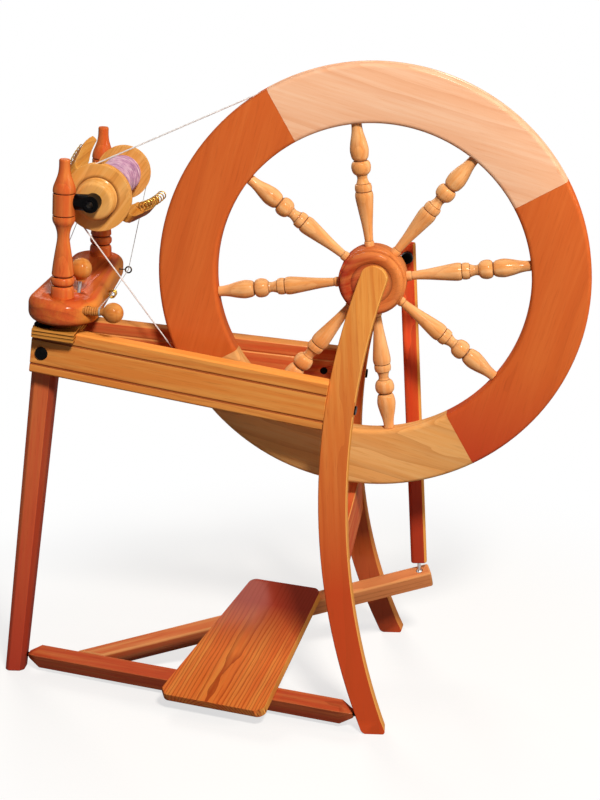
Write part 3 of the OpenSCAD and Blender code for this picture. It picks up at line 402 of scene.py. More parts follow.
class Wood(Enum):
    """The lots of wood in the wheel, each with the tone it has there."""

    # Painted shade: the far tone makes the front leg redder and darker towards its foot.
    LEG = WoodFinish(
        "#E8A856", "#DC8A3E", "#A8451C", far="#C24820", ring_mm=14, ring_share=0.25, rub_and_painted_light=0.8
    )
    # Painted shade: the far tone makes the rear leg darker towards its foot.
    LEG_RED = WoodFinish(
        "#E8984E", "#E0703A", "#963618", far="#B84A28",
        ring_mm=12, ring_share=0.3, streak_share=0.3, rub_and_painted_light=0.8,
    )
    # Painted shade: the far tone darkens the end leg towards its foot, and the side colour darkens its
    # right side.
    END_LEG = WoodFinish(
        "#DA7842", "#D45E38", "#AC4224", far="#C4442E", ring_share=0.0, rub_and_painted_light=0.7, side="#963424"
    )
    # Painted light: the side colour makes the rail's top paler, where the light falls on it.
    RAIL = WoodFinish(
        "#F0AC5A", "#E68A3E", "#A84E20",
        ring_mm=7, ring_share=0.28, rub_and_painted_light=0.7, side="#FFA44C", groove_and_shade_colour="#8E3616",
    )
    LAYERS = WoodFinish(
        "#E8A654", "#D68C38", "#1E0A06",
        ring_mm=4.7, ring_share=1.0, ring_from=0.3, wander=0.2, streak_share=0.3,
    )
    RAIL_RED = WoodFinish(
        "#E09A54", "#CE5A32", "#8E3018", ring_mm=9, ring_share=0.2, streak_share=0.4, rub_and_painted_light=0.8
    )
    RIM_RED = WoodFinish("#DC7436", "#D2642B", "#B04A1E", ring_mm=17, ring_share=0.2, streak_share=0.5)
    RIM_DEEP = WoodFinish(
        "#DC7436", "#D2642B", "#B04A1E", far="#C44424", ring_mm=17, ring_share=0.2, streak_share=0.5
    )
    RIM_PALE = WoodFinish("#F8CCAC", "#F1B892", "#DC9062", ring_mm=13, ring_share=0.3, fleck_share=0.25)
    RIM_HONEY = WoodFinish("#EEBC7C", "#E8A660", "#BC7436", ring_mm=9, ring_share=0.42)
    TURNED = WoodFinish("#E48A42", "#D4602A", "#9E3A18", ring_mm=8, ring_share=0.25, coat=0.06)
    SPOKE = WoodFinish("#F8C68E", "#E89C58", "#B05424", ring_mm=8, ring_share=0.22, coat=0.06)
    HUB = WoodFinish(
        "#DC7C42", "#B0321C", "#8E2A14", far="#DE8646", ring_mm=9, ring_share=0.25, coat=0.05
    )
    KNOB = WoodFinish(
        "#E2A258", "#CC7A34", "#AC5A28", ring_mm=6, ring_share=0.25, coat=0.06, groove_and_shade_colour="#B06A30"
    )
    BAR = WoodFinish(
        "#E6943E", "#D05A2A", "#8E3016",
        ring_mm=10, ring_share=0.3, streak_share=0.3, coat=0.045, rub_and_painted_light=0.8,
    )
    FLYER = WoodFinish("#F0BC74", "#E4A252", "#BC7230", ring_mm=3.2, ring_share=0.4, coat=0.05)
    YOKE = WoodFinish("#EAAA54", "#DE9038", "#9E4A1C", ring_mm=6, ring_share=0.3, groove_and_shade_colour="#7A2C10")
    BOARD = WoodFinish(
        "#DE9848", "#D46A2E", "#84280F", far="#96331D",
        ring_mm=4.5, ring_share=0.7, streak_share=0.5, rub_and_painted_light=0.8,
    )
    TREADLE = WoodFinish("#CC7240", "#BA4D2C", "#7E2C16", ring_mm=8, ring_share=0.33)
    ARM = WoodFinish(
        "#DC9A60", "#C8643A", "#9C4424", far="#DE8C56", ring_mm=8, ring_share=0.33, rub_and_painted_light=0.7
    )
    ROD = WoodFinish(
        "#EAA650", "#F4562E", "#A03018", far="#B03A20", ring_mm=9, streak_share=0.2, rub_and_painted_light=0.9
    )


@dataclass(frozen=True)
class MetalFinish:
    """Bare or plated metal with fine drawing lines and a little tarnish.

    Attributes:
        colour: Colour of the clean metal.
        tarnish: Colour where it has dulled.
        roughness: Roughness of the clean metal.
        patch_mm: Size of the dulled patches.
    """

    colour: str
    tarnish: str
    roughness: float
    patch_mm: float = 6.0

    def material(self, name: str) -> bpy.types.Material:
        """Makes the metal.

        Args:
            name: The material's name.

        Returns:
            The material.
        """
        material, tree, shader, points = start_material(name)
        patches = add_node(
            tree,
            "ShaderNodeTexNoise",
            {"Vector": points, "Scale": 1 / (self.patch_mm * MM), "Detail": 4.0},
        ).outputs[0]
        colour = add_node(
            tree,
            "ShaderNodeValToRGB",
            {"Fac": patches},
            ((0.42, self.colour), (0.72, self.tarnish)),
        ).outputs[0]
        rough = add_node(
            tree,
            "ShaderNodeMapRange",
            {"Value": patches, "To Min": self.roughness - 0.08, "To Max": self.roughness + 0.14},
        ).outputs[0]
        connect(tree, shader, {"Base Color": colour, "Roughness": rough, "Metallic": 1.0})
        return material


class Metal(Enum):
    """The metals of the wheel."""

    STEEL = MetalFinish("#C9CACC", "#9A9893", 0.3)
    DARK_STEEL = MetalFinish("#4C3E30", "#2A2018", 0.34)
    BRASS = MetalFinish("#D6AC52", "#8A6226", 0.24)


@dataclass(frozen=True)
class BlackFinish:
    """Black moulded nylon or blackened bolt steel: near black, faintly mottled, dull shine.

    Attributes:
        colour: Colour of the surface.
        dust: Colour of its paler grain.
        roughness: Mean roughness.
        grit_mm: Size of the moulded grit.
    """

    colour: str
    dust: str
    roughness: float
    grit_mm: float

    def material(self, name: str) -> bpy.types.Material:
        """Makes the black finish.

        Args:
            name: The material's name.

        Returns:
            The material.
        """
        material, tree, shader, points = start_material(name)
        grit = add_node(
            tree,
            "ShaderNodeTexNoise",
            {"Vector": points, "Scale": 1 / (self.grit_mm * MM), "Detail": 3.0},
        ).outputs[0]
        colour = add_node(
            tree,
            "ShaderNodeValToRGB",
            {"Fac": grit},
            ((0.4, self.colour), (0.8, self.dust)),
        ).outputs[0]
        rough = add_node(
            tree,
            "ShaderNodeMapRange",
            {"Value": grit, "To Min": self.roughness - 0.1, "To Max": self.roughness + 0.1},
        ).outputs[0]
        relief = add_node(
            tree,
            "ShaderNodeBump",
            {"Height": grit, "Strength": 0.15, "Distance": 0.1 * MM},
        ).outputs[0]
        connect(tree, shader, {"Base Color": colour, "Roughness": rough, "Normal": relief})
        connect(tree, shader, {"Specular IOR Level": 0.03})
        return material


class Black(Enum):
    """The black pieces' finishes."""

    NYLON = BlackFinish("#070708", "#111012", 0.36, 1.2)
    BOLT = BlackFinish("#070708", "#141316", 0.3, 2.0)


@dataclass(frozen=True)
class FibreFinish:
    """Spun fibre: hairs of several tones, a soft sheen and no gloss.

    Attributes:
        tones: Colours from the darkest to the palest hairs.
        hair_mm: Width of a lock of one tone.
        sheen: Weight of the soft sheen.
        roughness: Roughness of the fibre.
        drawn: How short the locks are along the three axes, so that they run round the bobbin.
    """

    tones: tuple[str, str, str]
    hair_mm: float
    sheen: float
    roughness: float
    drawn: tuple[float, float, float] = (1.0, 1.0, 1.0)

    def material(self, name: str) -> bpy.types.Material:
        """Makes the fibre.

        Args:
            name: The material's name.

        Returns:
            The material.
        """
        material, tree, shader, points = start_material(name)
        lay = add_node(tree, "ShaderNodeMapping", {"Vector": points, "Scale": self.drawn}).outputs[0]
        locks = add_node(
            tree,
            "ShaderNodeTexNoise",
            {"Vector": lay, "Scale": 1 / (self.hair_mm * MM), "Detail": 3.0, "Roughness": 0.6},
        ).outputs[0]
        dark, middle, pale = self.tones
        colour = add_node(
            tree,
            "ShaderNodeValToRGB",
            {"Fac": locks},
            ((0.34, dark), (0.66, pale), (0.5, middle)),
        ).outputs[0]
        relief = add_node(
            tree,
            "ShaderNodeBump",
            {"Height": locks, "Strength": 0.35, "Distance": 0.25 * MM},
        ).outputs[0]
        connect(tree, shader, {"Base Color": colour, "Normal": relief})
        connect(tree, shader, {"Roughness": self.roughness, "Sheen Weight": self.sheen})
        return material


class Fibre(Enum):
    """The cords and the yarn."""

    YARN = FibreFinish(("#A27098", "#CC9ABA", "#ECD2DE"), 2.0, 0.2, 0.9, (0.14, 1.0, 0.14))
    BAND = FibreFinish(("#E0DADA", "#ECE6E6", "#F6F3F3"), 3.0, 0.1, 0.8)
    NYLON_LINE = FibreFinish(("#9C9B98", "#B4B3B0", "#D2D1CE"), 4.0, 0.0, 0.35)


def add_piece(name: str, mesh: bpy.types.Mesh) -> bpy.types.Object:
    """Links a mesh into the scene as an object at the origin.

    Args:
        name: The piece's name.
        mesh: Its mesh.

    Returns:
        The piece.
    """
    piece = bpy.data.objects.new(name, mesh)
    bpy.context.scene.collection.objects.link(piece)
    return piece


def to_mesh(shape: bmesh.types.BMesh, name: str, crease: float = 40.0) -> bpy.types.Mesh:
    """Writes a finished bmesh to a smooth-shaded mesh.

    Args:
        shape: The bmesh, which is freed.
        name: The mesh's name.
        crease: Edges sharper than this many degrees stay sharp.

    Returns:
        The mesh.
    """
    mesh = bpy.data.meshes.new(name)
    shape.to_mesh(mesh)
    shape.free()
    mesh.shade_smooth()
    mesh.set_sharp_from_angle(angle=math.radians(crease))
    return mesh


def rounded(points: Profile, cuts: int = 5) -> Profile:
    """Draws a smooth line through a turner's profile points.

    Args:
        points: Radius and height pairs. A point given twice in a row stays a corner.
        cuts: Steps between two points.

    Returns:
        The finer profile.
    """
    runs: list[Profile] = [[points[0]]]
    for before, after in zip(points, points[1:]):
        if before == after:
            runs.append([after])
        else:
            runs[-1].append(after)
    line: Profile = []
    for run in runs:
        if len(run) < 2:
            continue
        knots = [Vector(p) for p in run]
        for i in range(len(knots) - 1):
            a, b = knots[i], knots[i + 1]
            ahead = (b - knots[i - 1]) / 2 if i else b - a
            after = (knots[i + 2] - a) / 2 if i + 2 < len(knots) else b - a
            for step in range(cuts):
                t = step / cuts
                p = (
                    a * (2 * t**3 - 3 * t**2 + 1)
                    + ahead * (t**3 - 2 * t**2 + t)
                    + b * (3 * t**2 - 2 * t**3)
                    + after * (t**3 - t**2)
                )
                line.append((max(p.x, 0.0), p.y))
        line.append((max(knots[-1].x, 0.0), knots[-1].y))
    return line


def hollows(profile: Profile, reach: float) -> list[float]:
    """Measures how far each point of a turned profile lies under the chord across it.

    Args:
        profile: Radius and height pairs.
        reach: Length of the profile from the point to each end of the chord.

    Returns:
        Depths, positive in hollows and negative on beads.
    """
    points = [Vector(p) for p in profile]
    lengths = [0.0]
    for a, b in zip(points, points[1:]):
        lengths.append(lengths[-1] + (b - a).length)
    turn = sum(a.x * b.y - b.x * a.y for a, b in zip(points, points[1:] + points[:1]))
    depths = []
    for point, length in zip(points, lengths):
        ends = []
        for goal in (length - reach, length + reach):
            i = min(max(bisect.bisect(lengths, goal), 1), len(points) - 1)
            step = max(lengths[i] - lengths[i - 1], 1e-9)
            share = clamp((goal - lengths[i - 1]) / step)
            ends.append(points[i - 1].lerp(points[i], share))
        chord = ends[1] - ends[0]
        out = Vector((chord.y, -chord.x)) if turn > 0 else Vector((-chord.y, chord.x))
        over = (ends[0] + ends[1]) / 2 - point
        depths.append(over.dot(out.normalized()) if out.length else 0.0)
    return depths


def turned(
    name: str,
    profile: Profile,
    place: Matrix,
    steps: int = 56,
    crease: float = 38.0,
) -> bpy.types.Object:
    """Turns a profile on the lathe.

    Args:
        name: The piece's name.
        profile: Radius and height pairs, from one end to the other.
        place: Takes the lathe's axis, the third one, to its place.
        steps: Facets round the axis.
        crease: Edges sharper than this many degrees stay sharp.

    Returns:
        The piece, with its hollows marked in the attribute groove.
    """
    shape = bmesh.new()
    hollow = shape.verts.layers.float.new("groove")
    verts = [shape.verts.new((r, 0.0, h)) for r, h in profile]
    reach, shallow, rise = 1.8 * MM, 0.1 * MM, 0.7 * MM
    for vert, depth in zip(verts, hollows(profile, reach)):
        vert[hollow] = clamp((depth - shallow) / rise)
    edges = [shape.edges.new(pair) for pair in zip(verts, verts[1:])]
    bmesh.ops.spin(
        shape,
        geom=verts + edges,
        axis=(0, 0, 1),
        cent=(0, 0, 0),
        angle=2 * math.pi,
        steps=steps,
        use_merge=True,
    )
    bmesh.ops.remove_doubles(shape, verts=shape.verts, dist=MERGE)
    bmesh.ops.recalc_face_normals(shape, faces=shape.faces)
    bmesh.ops.transform(shape, matrix=place, verts=shape.verts)
    return add_piece(name, to_mesh(shape, name, crease))


def eased(
    node: str,
    width: float,
    corner: float = 0.0,
    lines: bool = False,
    painted_light_side: Optional[Vector] = None,
) -> bpy.types.Object:
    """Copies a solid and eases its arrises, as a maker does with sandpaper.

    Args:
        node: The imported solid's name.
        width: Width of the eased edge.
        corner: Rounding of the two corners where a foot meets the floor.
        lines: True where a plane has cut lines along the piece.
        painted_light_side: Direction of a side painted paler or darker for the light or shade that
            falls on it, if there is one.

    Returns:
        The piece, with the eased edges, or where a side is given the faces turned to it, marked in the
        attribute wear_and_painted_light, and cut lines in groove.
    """
    shape = bmesh.new()
    shape.from_mesh(frame["nodes"][node].data)
    bmesh.ops.remove_doubles(shape, verts=shape.verts, dist=MERGE)
    bmesh.ops.dissolve_limit(
        shape,
        angle_limit=math.radians(0.4),
        verts=shape.verts,
        edges=shape.edges,
    )
    rub_and_painted_light = shape.loops.layers.float.new("wear_and_painted_light")
    line = shape.loops.layers.float.new("groove")
    if corner:
        ease_edges(shape, [e for e in shape.edges if is_toe(e)], corner, segments=5)
    if lines:
        mark_lines(shape, line)
    arrises = [e for e in shape.edges if is_arris(e, width)]
    rounds = set(ease_edges(shape, arrises, width, segments=2))
    bmesh.ops.triangulate(shape, faces=[f for f in shape.faces if len(f.verts) > 4])
    refill(shape)
    shape.normal_update()
    # Painted light and shade: where a side is given, its faces and the rounds turned to it take the
    # mark instead of all rounds, so that that side is painted paler or darker for the light or shade on
    # it.
    round_faces, side_faces = 0.25, 0.45
    for face in shape.faces:
        worn_or_painted_face = face in rounds
        if painted_light_side:
            worn_or_painted_face = face.normal.dot(painted_light_side) > (round_faces if worn_or_painted_face else side_faces)
        for loop in face.loops:
            loop[rub_and_painted_light] = float(worn_or_painted_face) * (1.0 - loop[line])
    piece = add_piece(f"{node}_eased", to_mesh(shape, f"{node}_eased", 50.0))
    weighted = piece.modifiers.new("flat_faces", "WEIGHTED_NORMAL")
    weighted.keep_sharp = True
    weighted.weight = 100
    return piece


def mark_lines(shape: bmesh.types.BMesh, layer: bmesh.types.BMLayerItem) -> None:
    """Marks the narrow faces of planed lines.

    Args:
        shape: The bmesh.
        layer: The loops' layer that takes the marks.
    """
    valley, narrow = -math.radians(8), 2.6 * MM
    for edge in shape.edges:
        if not edge.is_manifold or edge.calc_face_angle_signed() >= valley:
            continue
        for face in edge.link_faces:
            if face.calc_area() < narrow * max(e.calc_length() for e in face.edges):
                for loop in face.loops:
                    loop[layer] = 1.0


def is_arris(edge: bmesh.types.BMEdge, width: float) -> bool:
    """Tells whether an edge is an outer arris that can be eased.

    Args:
        edge: The edge.
        width: Width of the easing.

    Returns:
        True where it is sharp, long enough and has room on both of its faces.
    """
    sharp, least_length, least_room = math.radians(25), 1.6 * width, 1.8 * width
    if not edge.is_manifold or edge.calc_face_angle_signed() < sharp:
        return False
    length = edge.calc_length()
    room = min(face.calc_area() for face in edge.link_faces) / length
    return length > least_length and room > least_room


def refill(shape: bmesh.types.BMesh) -> None:
    """Fills flat faces anew from their outline where a hole near an edge made triangles fold over.

    Args:
        shape: The bmesh.
    """
    passes, fold, level = 12, math.radians(175), 0.9999
    for _ in range(passes):
        shape.normal_update()
        folds = [e for e in shape.edges if e.is_manifold and e.calc_face_angle() > fold]
        if not folds:
            return
        first = max(folds[0].link_faces, key=lambda face: face.calc_area())
        found, wave = {first}, [first]
        while wave:
            beside = {face for edge in wave.pop().edges for face in edge.link_faces}
            near = {face for face in beside if abs(face.normal.dot(first.normal)) > level}
            wave += near - found
            found |= near
        flat = [face for face in shape.faces if face in found]
        normal = max(flat, key=lambda face: face.calc_area()).normal.copy()
        edges = [e for e in shape.edges if not found.isdisjoint(e.link_faces)]
        inner = [e for e in edges if found.issuperset(e.link_faces)]
        outline = [e for e in edges if not found.issuperset(e.link_faces)]
        bmesh.ops.delete(shape, geom=flat, context="FACES_ONLY")
        bmesh.ops.delete(shape, geom=inner, context="EDGES")
        bmesh.ops.triangle_fill(shape, use_beauty=True, edges=outline, normal=normal)


def is_toe(edge: bmesh.types.BMEdge) -> bool:
    """Tells whether an edge is a foot's corner.

    Args:
        edge: The edge.

    Returns:
        True where it lies on the floor and runs across the leg's thickness.
    """
    low, least_share = 0.5 * MM, 0.8
    a, b = (vert.co for vert in edge.verts)
    across = abs(b.y - a.y) > least_share * (b - a).length
    return edge.is_manifold and across and max(a.z, b.z) < low


def ease_edges(
    shape: bmesh.types.BMesh,
    edges: Sequence[bmesh.types.BMEdge],
    width: float,
    segments: int,
) -> list[bmesh.types.BMFace]:
    """Rounds edges over.

    Args:
        shape: The bmesh that they are in.
        edges: The edges.
        width: Width of the rounding on each side.
        segments: Facets of the rounding.

    Returns:
        The new faces.
    """
    made = bmesh.ops.bevel(
        shape,
        geom=list(edges),
        offset=width,
        offset_type="OFFSET",
        affect="EDGES",
        segments=segments,
        profile=0.5,
        material=-1,
        clamp_overlap=False,
    )
    return made["faces"]


def wire(
    name: str,
    paths: Iterable[Sequence[Vector]],
    radius: float,
    sides: int = 8,
    closed: bool = False,
    place: Matrix = Matrix(),
) -> bpy.types.Object:
    """Draws round wires or strands along paths.

    Args:
        name: The piece's name.
        paths: The points that each strand follows.
        radius: The strand's radius.
        sides: Facets round a strand.
        closed: True where each path joins its own start.
        place: Takes the paths to their place.

    Returns:
        The piece, as a mesh.
    """
    curve = bpy.data.curves.new(name, "CURVE")
    curve.dimensions = "3D"
    curve.bevel_depth = radius
    curve.bevel_resolution = max((sides - 4) // 2, 0)
    curve.use_fill_caps = not closed
    for path in paths:
        spline = curve.splines.new("POLY")
        spline.points.add(len(path) - 1)
        for knot, point in zip(spline.points, path):
            knot.co = (*(place @ point), 1.0)
        spline.use_cyclic_u = closed
    sketch = bpy.data.objects.new(f"{name}_sketch", curve)
    bpy.context.scene.collection.objects.link(sketch)
    ready = sketch.evaluated_get(bpy.context.evaluated_depsgraph_get())
    mesh = bpy.data.meshes.new_from_object(ready)
    bpy.data.objects.remove(sketch)
    bpy.data.curves.remove(curve)
    mesh.name = name
    mesh.shade_smooth()
    return add_piece(name, mesh)


def dress(piece: bpy.types.Object, material: bpy.types.Material) -> bpy.types.Object:
    """Gives a piece one material all over.

    Args:
        piece: The piece.
        material: Its material.

    Returns:
        The piece.
    """
    piece.data.materials.clear()
    piece.data.materials.append(material)
    return piece


def dress_solids(material: bpy.types.Material, *nodes: str) -> None:
    """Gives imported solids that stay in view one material."""
    for node in nodes:
        dress(frame["nodes"][node], material)


def stand_in(piece: bpy.types.Object, body: str, slot: str, *nodes: str) -> None:
    """Lets a piece ride on a body in place of the solids that it stands for.

    Args:
        piece: The new piece.
        body: The body that carries it.
        slot: The record's material slot, not used.
        nodes: The solids that it replaces.
    """
    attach(piece, body)
    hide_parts(*nodes)
    LOG.info("%s rides on %s for %s", piece.name, body, ", ".join(nodes))


def middle(node: str) -> Vector:
    """Gives the middle of a solid's box."""
    low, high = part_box(node)
    return (low + high) / 2


@dataclass
class Places:
    """The wheel's axes and frames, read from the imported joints.

    Attributes:
        flyer_out: Flyer axis from the line of the maidens.
        flyer_up: Flyer axis above the flyer bar.
    """

    flyer_out: float = 36 * MM
    flyer_up: float = 127.4 * MM
    joints: dict[str, dict[str, Any]] = field(
        default_factory=lambda: {j["name"]: j for j in frame["record"]["behaviour"]["joints"]}
    )

    def point(self, joint: str) -> Vector:
        """Gives a joint's place."""
        return Vector(self.joints[joint]["pos_m"])

    def axis(self, joint: str) -> Vector:
        """Gives a joint's axis."""
        return Vector(self.joints[joint]["axis"]).normalized()

    def wheel(self) -> Matrix:
        """Gives the wheel as seen from the front: right, up and towards the viewer."""
        return Matrix.Translation(self.point("wheel_spin")) @ Matrix.Rotation(math.pi / 2, 4, "X")

    def bar(self) -> Matrix:
        """Works out the flyer bar's frame.

        Returns:
            The frame, its origin on the bar's top, between the maidens' axes.
        """
        out = self.axis("brake_peg_turn")
        lean = Matrix.Rotation(math.atan2(-out.z, out.x), 4, "Y")
        hub = self.point("flyer_spin")
        hub.y = self.point("wheel_spin").y
        return Matrix.Translation(hub) @ lean @ Matrix.Translation((-self.flyer_out, 0, -self.flyer_up))

    def flyer(self) -> Matrix:
        """Gives the flyer's frame: its axis is the third one, from the wheel's plane to the back."""
        shift = Matrix.Translation((self.flyer_out, 0, self.flyer_up))
        return self.bar() @ shift @ Matrix.Rotation(-math.pi / 2, 4, "X")


PLACES = Places()


@dataclass
class DriveWheel:
    """Rim of four boards, eight turned spokes and a hub, on a steel axle with a crank.

    Attributes:
        radius: Outside of the rim.
        inner: Inside of the rim.
        half: Half the rim's thickness.
        edge: Rounding of the rim's edges.
        groove: Depth of the band's groove.
        hub_radius: Outside of the hub.
        hub_half: Half the hub's length.
        spokes: How many spokes.
        first: Turn of the first spoke, in degrees.
        tenon: Length of the spokes' tenons.
        throw: Crank pin from the axle.
        crank_turn: Turn of the crank as the wheel stands, in degrees.
        crank_back: Rear face of the crank behind the wheel's plane.
    """

    radius: float = 280 * MM
    inner: float = 204 * MM
    half: float = 14 * MM
    edge: float = 5.5 * MM
    groove: float = 5 * MM
    hub_radius: float = 44 * MM
    hub_half: float = 27 * MM
    spokes: int = 8
    first: float = 5.0
    tenon: float = 15 * MM
    throw: float = 40 * MM
    crank_turn: float = 14.0
    crank_back: float = 73.3 * MM

    def rim_profile(self) -> Profile:
        """Draws the rim's section.

        Returns:
            The section, with rounded edges and a groove for the band.
        """
        corners = (
            (self.inner, -self.half, 1, 1, 180),
            (self.radius, -self.half, -1, 1, 270),
            (self.radius, self.half, -1, -1, 0),
            (self.inner, self.half, 1, -1, 90),
        )
        floor, mouth, foot = self.radius - self.groove, 3.9 * MM, 1.6 * MM
        groove = [(self.radius, -mouth), (floor, -foot), (floor, foot), (self.radius, mouth)]
        cuts = 6
        line: Profile = []
        for i, (r, h, to_r, to_h, turn) in enumerate(corners):
            for k in range(cuts + 1):
                a = math.radians(turn + 90 * k / cuts)
                x, y = to_r + math.cos(a), to_h + math.sin(a)
                line.append((r + self.edge * x, h + self.edge * y))
            if i == 1:
                line += groove
        return line

    def rim(self, index: int, finish: Wood) -> bpy.types.Object:
        """Sweeps one rim board through its quarter turn and dresses it.

        Args:
            index: Which board, from 0, counter-clockwise.
            finish: Its wood.

        Returns:
            The piece.
        """
        name = f"rim_board_{index + 1}"
        start = self.first + 180 / self.spokes + 90 * index
        gap = 0.02
        shape = bmesh.new()
        section = shape.faces.new([shape.verts.new((r, 0, h)) for r, h in self.rim_profile()])
        bmesh.ops.spin(
            shape,
            geom=[section, *section.edges, *section.verts],
            axis=(0, 0, 1),
            cent=(0, 0, 0),
            angle=math.radians(90 - 2 * gap),
            steps=40,
        )
        bmesh.ops.remove_doubles(shape, verts=shape.verts, dist=MERGE)
        bmesh.ops.recalc_face_normals(shape, faces=shape.faces)
        turn = Matrix.Rotation(math.radians(start + gap), 4, "Z")
        bmesh.ops.transform(shape, matrix=PLACES.wheel() @ turn, verts=shape.verts)
        piece = add_piece(name, to_mesh(shape, name, 35.0))
        across = math.radians(start + 45)
        out = Vector((math.cos(across), math.sin(across), 0))
        centre = PLACES.wheel() @ (out * self.inner)
        along = PLACES.wheel().to_3x3() @ Vector((-out.y, out.x, 0))
        grain = Grain(-along, centre, heart=(40 + 17 * index) * MM, fade=(0.04, 0.2))
        return dress(piece, finish.value.material(f"lacquered_beech_{name}", grain))

    def spoke_profile(self) -> Profile:
        """Draws a turned spoke.

        Returns:
            The profile, from the hub's tenon to the rim's.
        """
        span = self.inner - self.hub_radius
        drawn = (
            (6.3, 0.0), (6.3, 0.0), (6.5, 0.017), (6.3, 0.034), (6.3, 0.034), (5.5, 0.040), (5.6, 0.06),
            (6.9, 0.161), (9.7, 0.297), (11.4, 0.381), (11.7, 0.415), (11.0, 0.441), (11.0, 0.441),
            (9.9, 0.4445), (9.9, 0.449), (9.9, 0.449), (10.6, 0.4525), (11.0, 0.478), (10.2, 0.505),
            (10.2, 0.505), (8.6, 0.509), (8.4, 0.514), (7.2, 0.534), (6.5, 0.559), (7.4, 0.581),
            (7.4, 0.581), (9.0, 0.588), (11.2, 0.604), (12.3, 0.627), (12.6, 0.649), (11.9, 0.673),
            (10.2, 0.690), (10.2, 0.690), (8.4, 0.695), (8.4, 0.701), (8.4, 0.701), (9.4, 0.708),
            (10.8, 0.724), (11.9, 0.763), (11.9, 0.797), (10.2, 0.856), (7.9, 0.915), (6.9, 0.958),
            (6.7, 0.996),
        )
        body = rounded([(r * MM, self.hub_radius + f * span) for r, f in drawn], 4)
        pin = 5 * MM
        low = self.hub_radius - self.tenon
        high = self.inner + self.tenon
        hub_end = [(0, low), (pin, low), (pin, self.hub_radius)]
        rim_end = [(pin, self.inner), (pin, high), (0, high)]
        return [*hub_end, *body, *rim_end]

    def spoke(self, index: int) -> bpy.types.Object:
        """Turns one spoke and dresses it.

        Args:
            index: Which spoke, from 0, counter-clockwise.

        Returns:
            The piece.
        """
        name = f"turned_spoke_{index + 1}"
        turn = Matrix.Rotation(math.radians(self.first + 360 / self.spokes * index), 4, "Z")
        place = PLACES.wheel() @ turn @ Matrix.Rotation(math.pi / 2, 4, "Y")
        piece = turned(name, self.spoke_profile(), place, steps=40)
        along = place.to_3x3() @ Vector((0, 0, 1))
        centre = place @ Vector((0, 0, 60 * MM * (index % 3)))
        grain = Grain(along, centre, heart=(9 + 2 * index) * MM)
        return dress(piece, Wood.SPOKE.value.material(f"lacquered_beech_{name}", grain))

    def hub(self) -> bpy.types.Object:
        """Turns the hub and dresses it.

        Returns:
            The hub: a drum for the spokes and, on each face, a bead round a shallow dish.
        """
        r, half, drum = self.hub_radius / MM, self.hub_half / MM, 18
        bore, collar, bead = 6.05, 10.95, r - 17.5
        boss, dish = half + 3.7, half - 2.2
        face = (
            (bore, boss), (collar, boss), (collar, boss), (collar, dish), (collar, dish), (bead, dish),
            (bead, dish), (r - 16.2, dish + 1), (r - 13, half + 0.3), (r - 9, half + 1.4),
            (r - 5.4, half + 0.6), (r - 3.2, half - 1.8), (r - 2.7, half - 4.4), (r - 3.6, drum + 2.4),
            (r - 4.8, drum + 1.2), (r - 5, drum), (r - 5, drum), (r - 1.8, drum), (r - 0.5, drum - 0.7),
            (r, drum - 2.2),
        )
        upper = rounded([(q * MM, h * MM) for q, h in face], 4)
        lower = [(q, -h) for q, h in reversed(upper)]
        piece = turned("turned_hub", [*upper, *lower, upper[0]], PLACES.wheel(), steps=72)
        centre = PLACES.point("wheel_spin")
        # The far tone is partly the wood's own and partly painted light: the hub turns from dark red on
        # the left to paler on the right, where the light falls.
        grain = Grain(Vector((1, 0, 0.25)), centre, heart=40 * MM, fade=(-0.03, 0.036))
        return dress(piece, Wood.HUB.value.material("lacquered_beech_hub", grain))

    def build(self) -> None:
        """Builds and dresses the whole drive wheel."""
        woods = (Wood.RIM_PALE, Wood.RIM_RED, Wood.RIM_HONEY, Wood.RIM_DEEP)
        for i, wood in enumerate(woods):
            stand_in(self.rim(i, wood), "wheel", "rim_wood", f"rim_{i + 1}")
        for i in range(self.spokes):
            stand_in(self.spoke(i), "wheel", "turned_wood", f"spoke_{i + 1}")
        stand_in(self.hub(), "wheel", "turned_wood", "hub")
        dress_solids(Metal.STEEL.value.material("bright_steel_axle"), "axle_crank")
        self.crank_cap()

    def crank_cap(self) -> None:
        """Pushes a black moulded cap over the crank's end, in front of the connecting rod."""
        turn = Matrix.Rotation(math.radians(self.crank_turn), 4, "Z")
        place = PLACES.wheel() @ turn @ Matrix.Translation((self.throw, 0, -self.crank_back))
        radius, thick = 8.0 * MM, 7.4 * MM
        face = ((0, 1), (0.35, 1), (0.7, 0.93), (0.92, 0.75), (1, 0.45), (1, 0), (0.6, 0))
        profile = rounded([(x * radius, y * thick) for x, y in face], 4)
        cap = turned("crank_end_cap", profile, place, steps=40)
        dress(cap, Black.NYLON.value.material("black_moulded_nylon_cap"))
        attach(cap, "wheel")


@dataclass(frozen=True)
class Board:
    """One planed piece of the frame, the treadle or the flyer bar.

    Attributes:
        node: The solid that it stands for.
        body: The body that carries it.
        wood: Its finish.
        along: Direction of its fibres.
        up: Direction of its best face.
        ease: Width of its eased arrises.
        heart: Distance from its middle to the tree's heart.
        fade: Where along the fibres it takes its far tone.
        corner: Rounding of its foot's corners.
        lines: True where a plane has cut lines along it.
        painted_light_side: Direction of a side painted paler or darker for the light or shade on it, if
            there is one.
    """

    node: str
    body: str
    wood: Wood
    along: Vector
    up: Vector = Vector((0, -1, 0))
    ease: float = 1.4 * MM
    heart: float = 55 * MM
    fade: tuple[float, float] = (0.0, 0.3)
    corner: float = 0.0
    lines: bool = False
    painted_light_side: Optional[Vector] = None

    def build(self) -> None:
        """Eases, dresses and places the board."""
        piece = eased(self.node, self.ease, self.corner, self.lines, self.painted_light_side)
        grain = Grain(self.along, middle(self.node), self.up, self.heart, self.fade)
        dress(piece, self.wood.value.material(f"lacquered_beech_{self.node}", grain))
        stand_in(piece, self.body, "frame_wood", self.node)


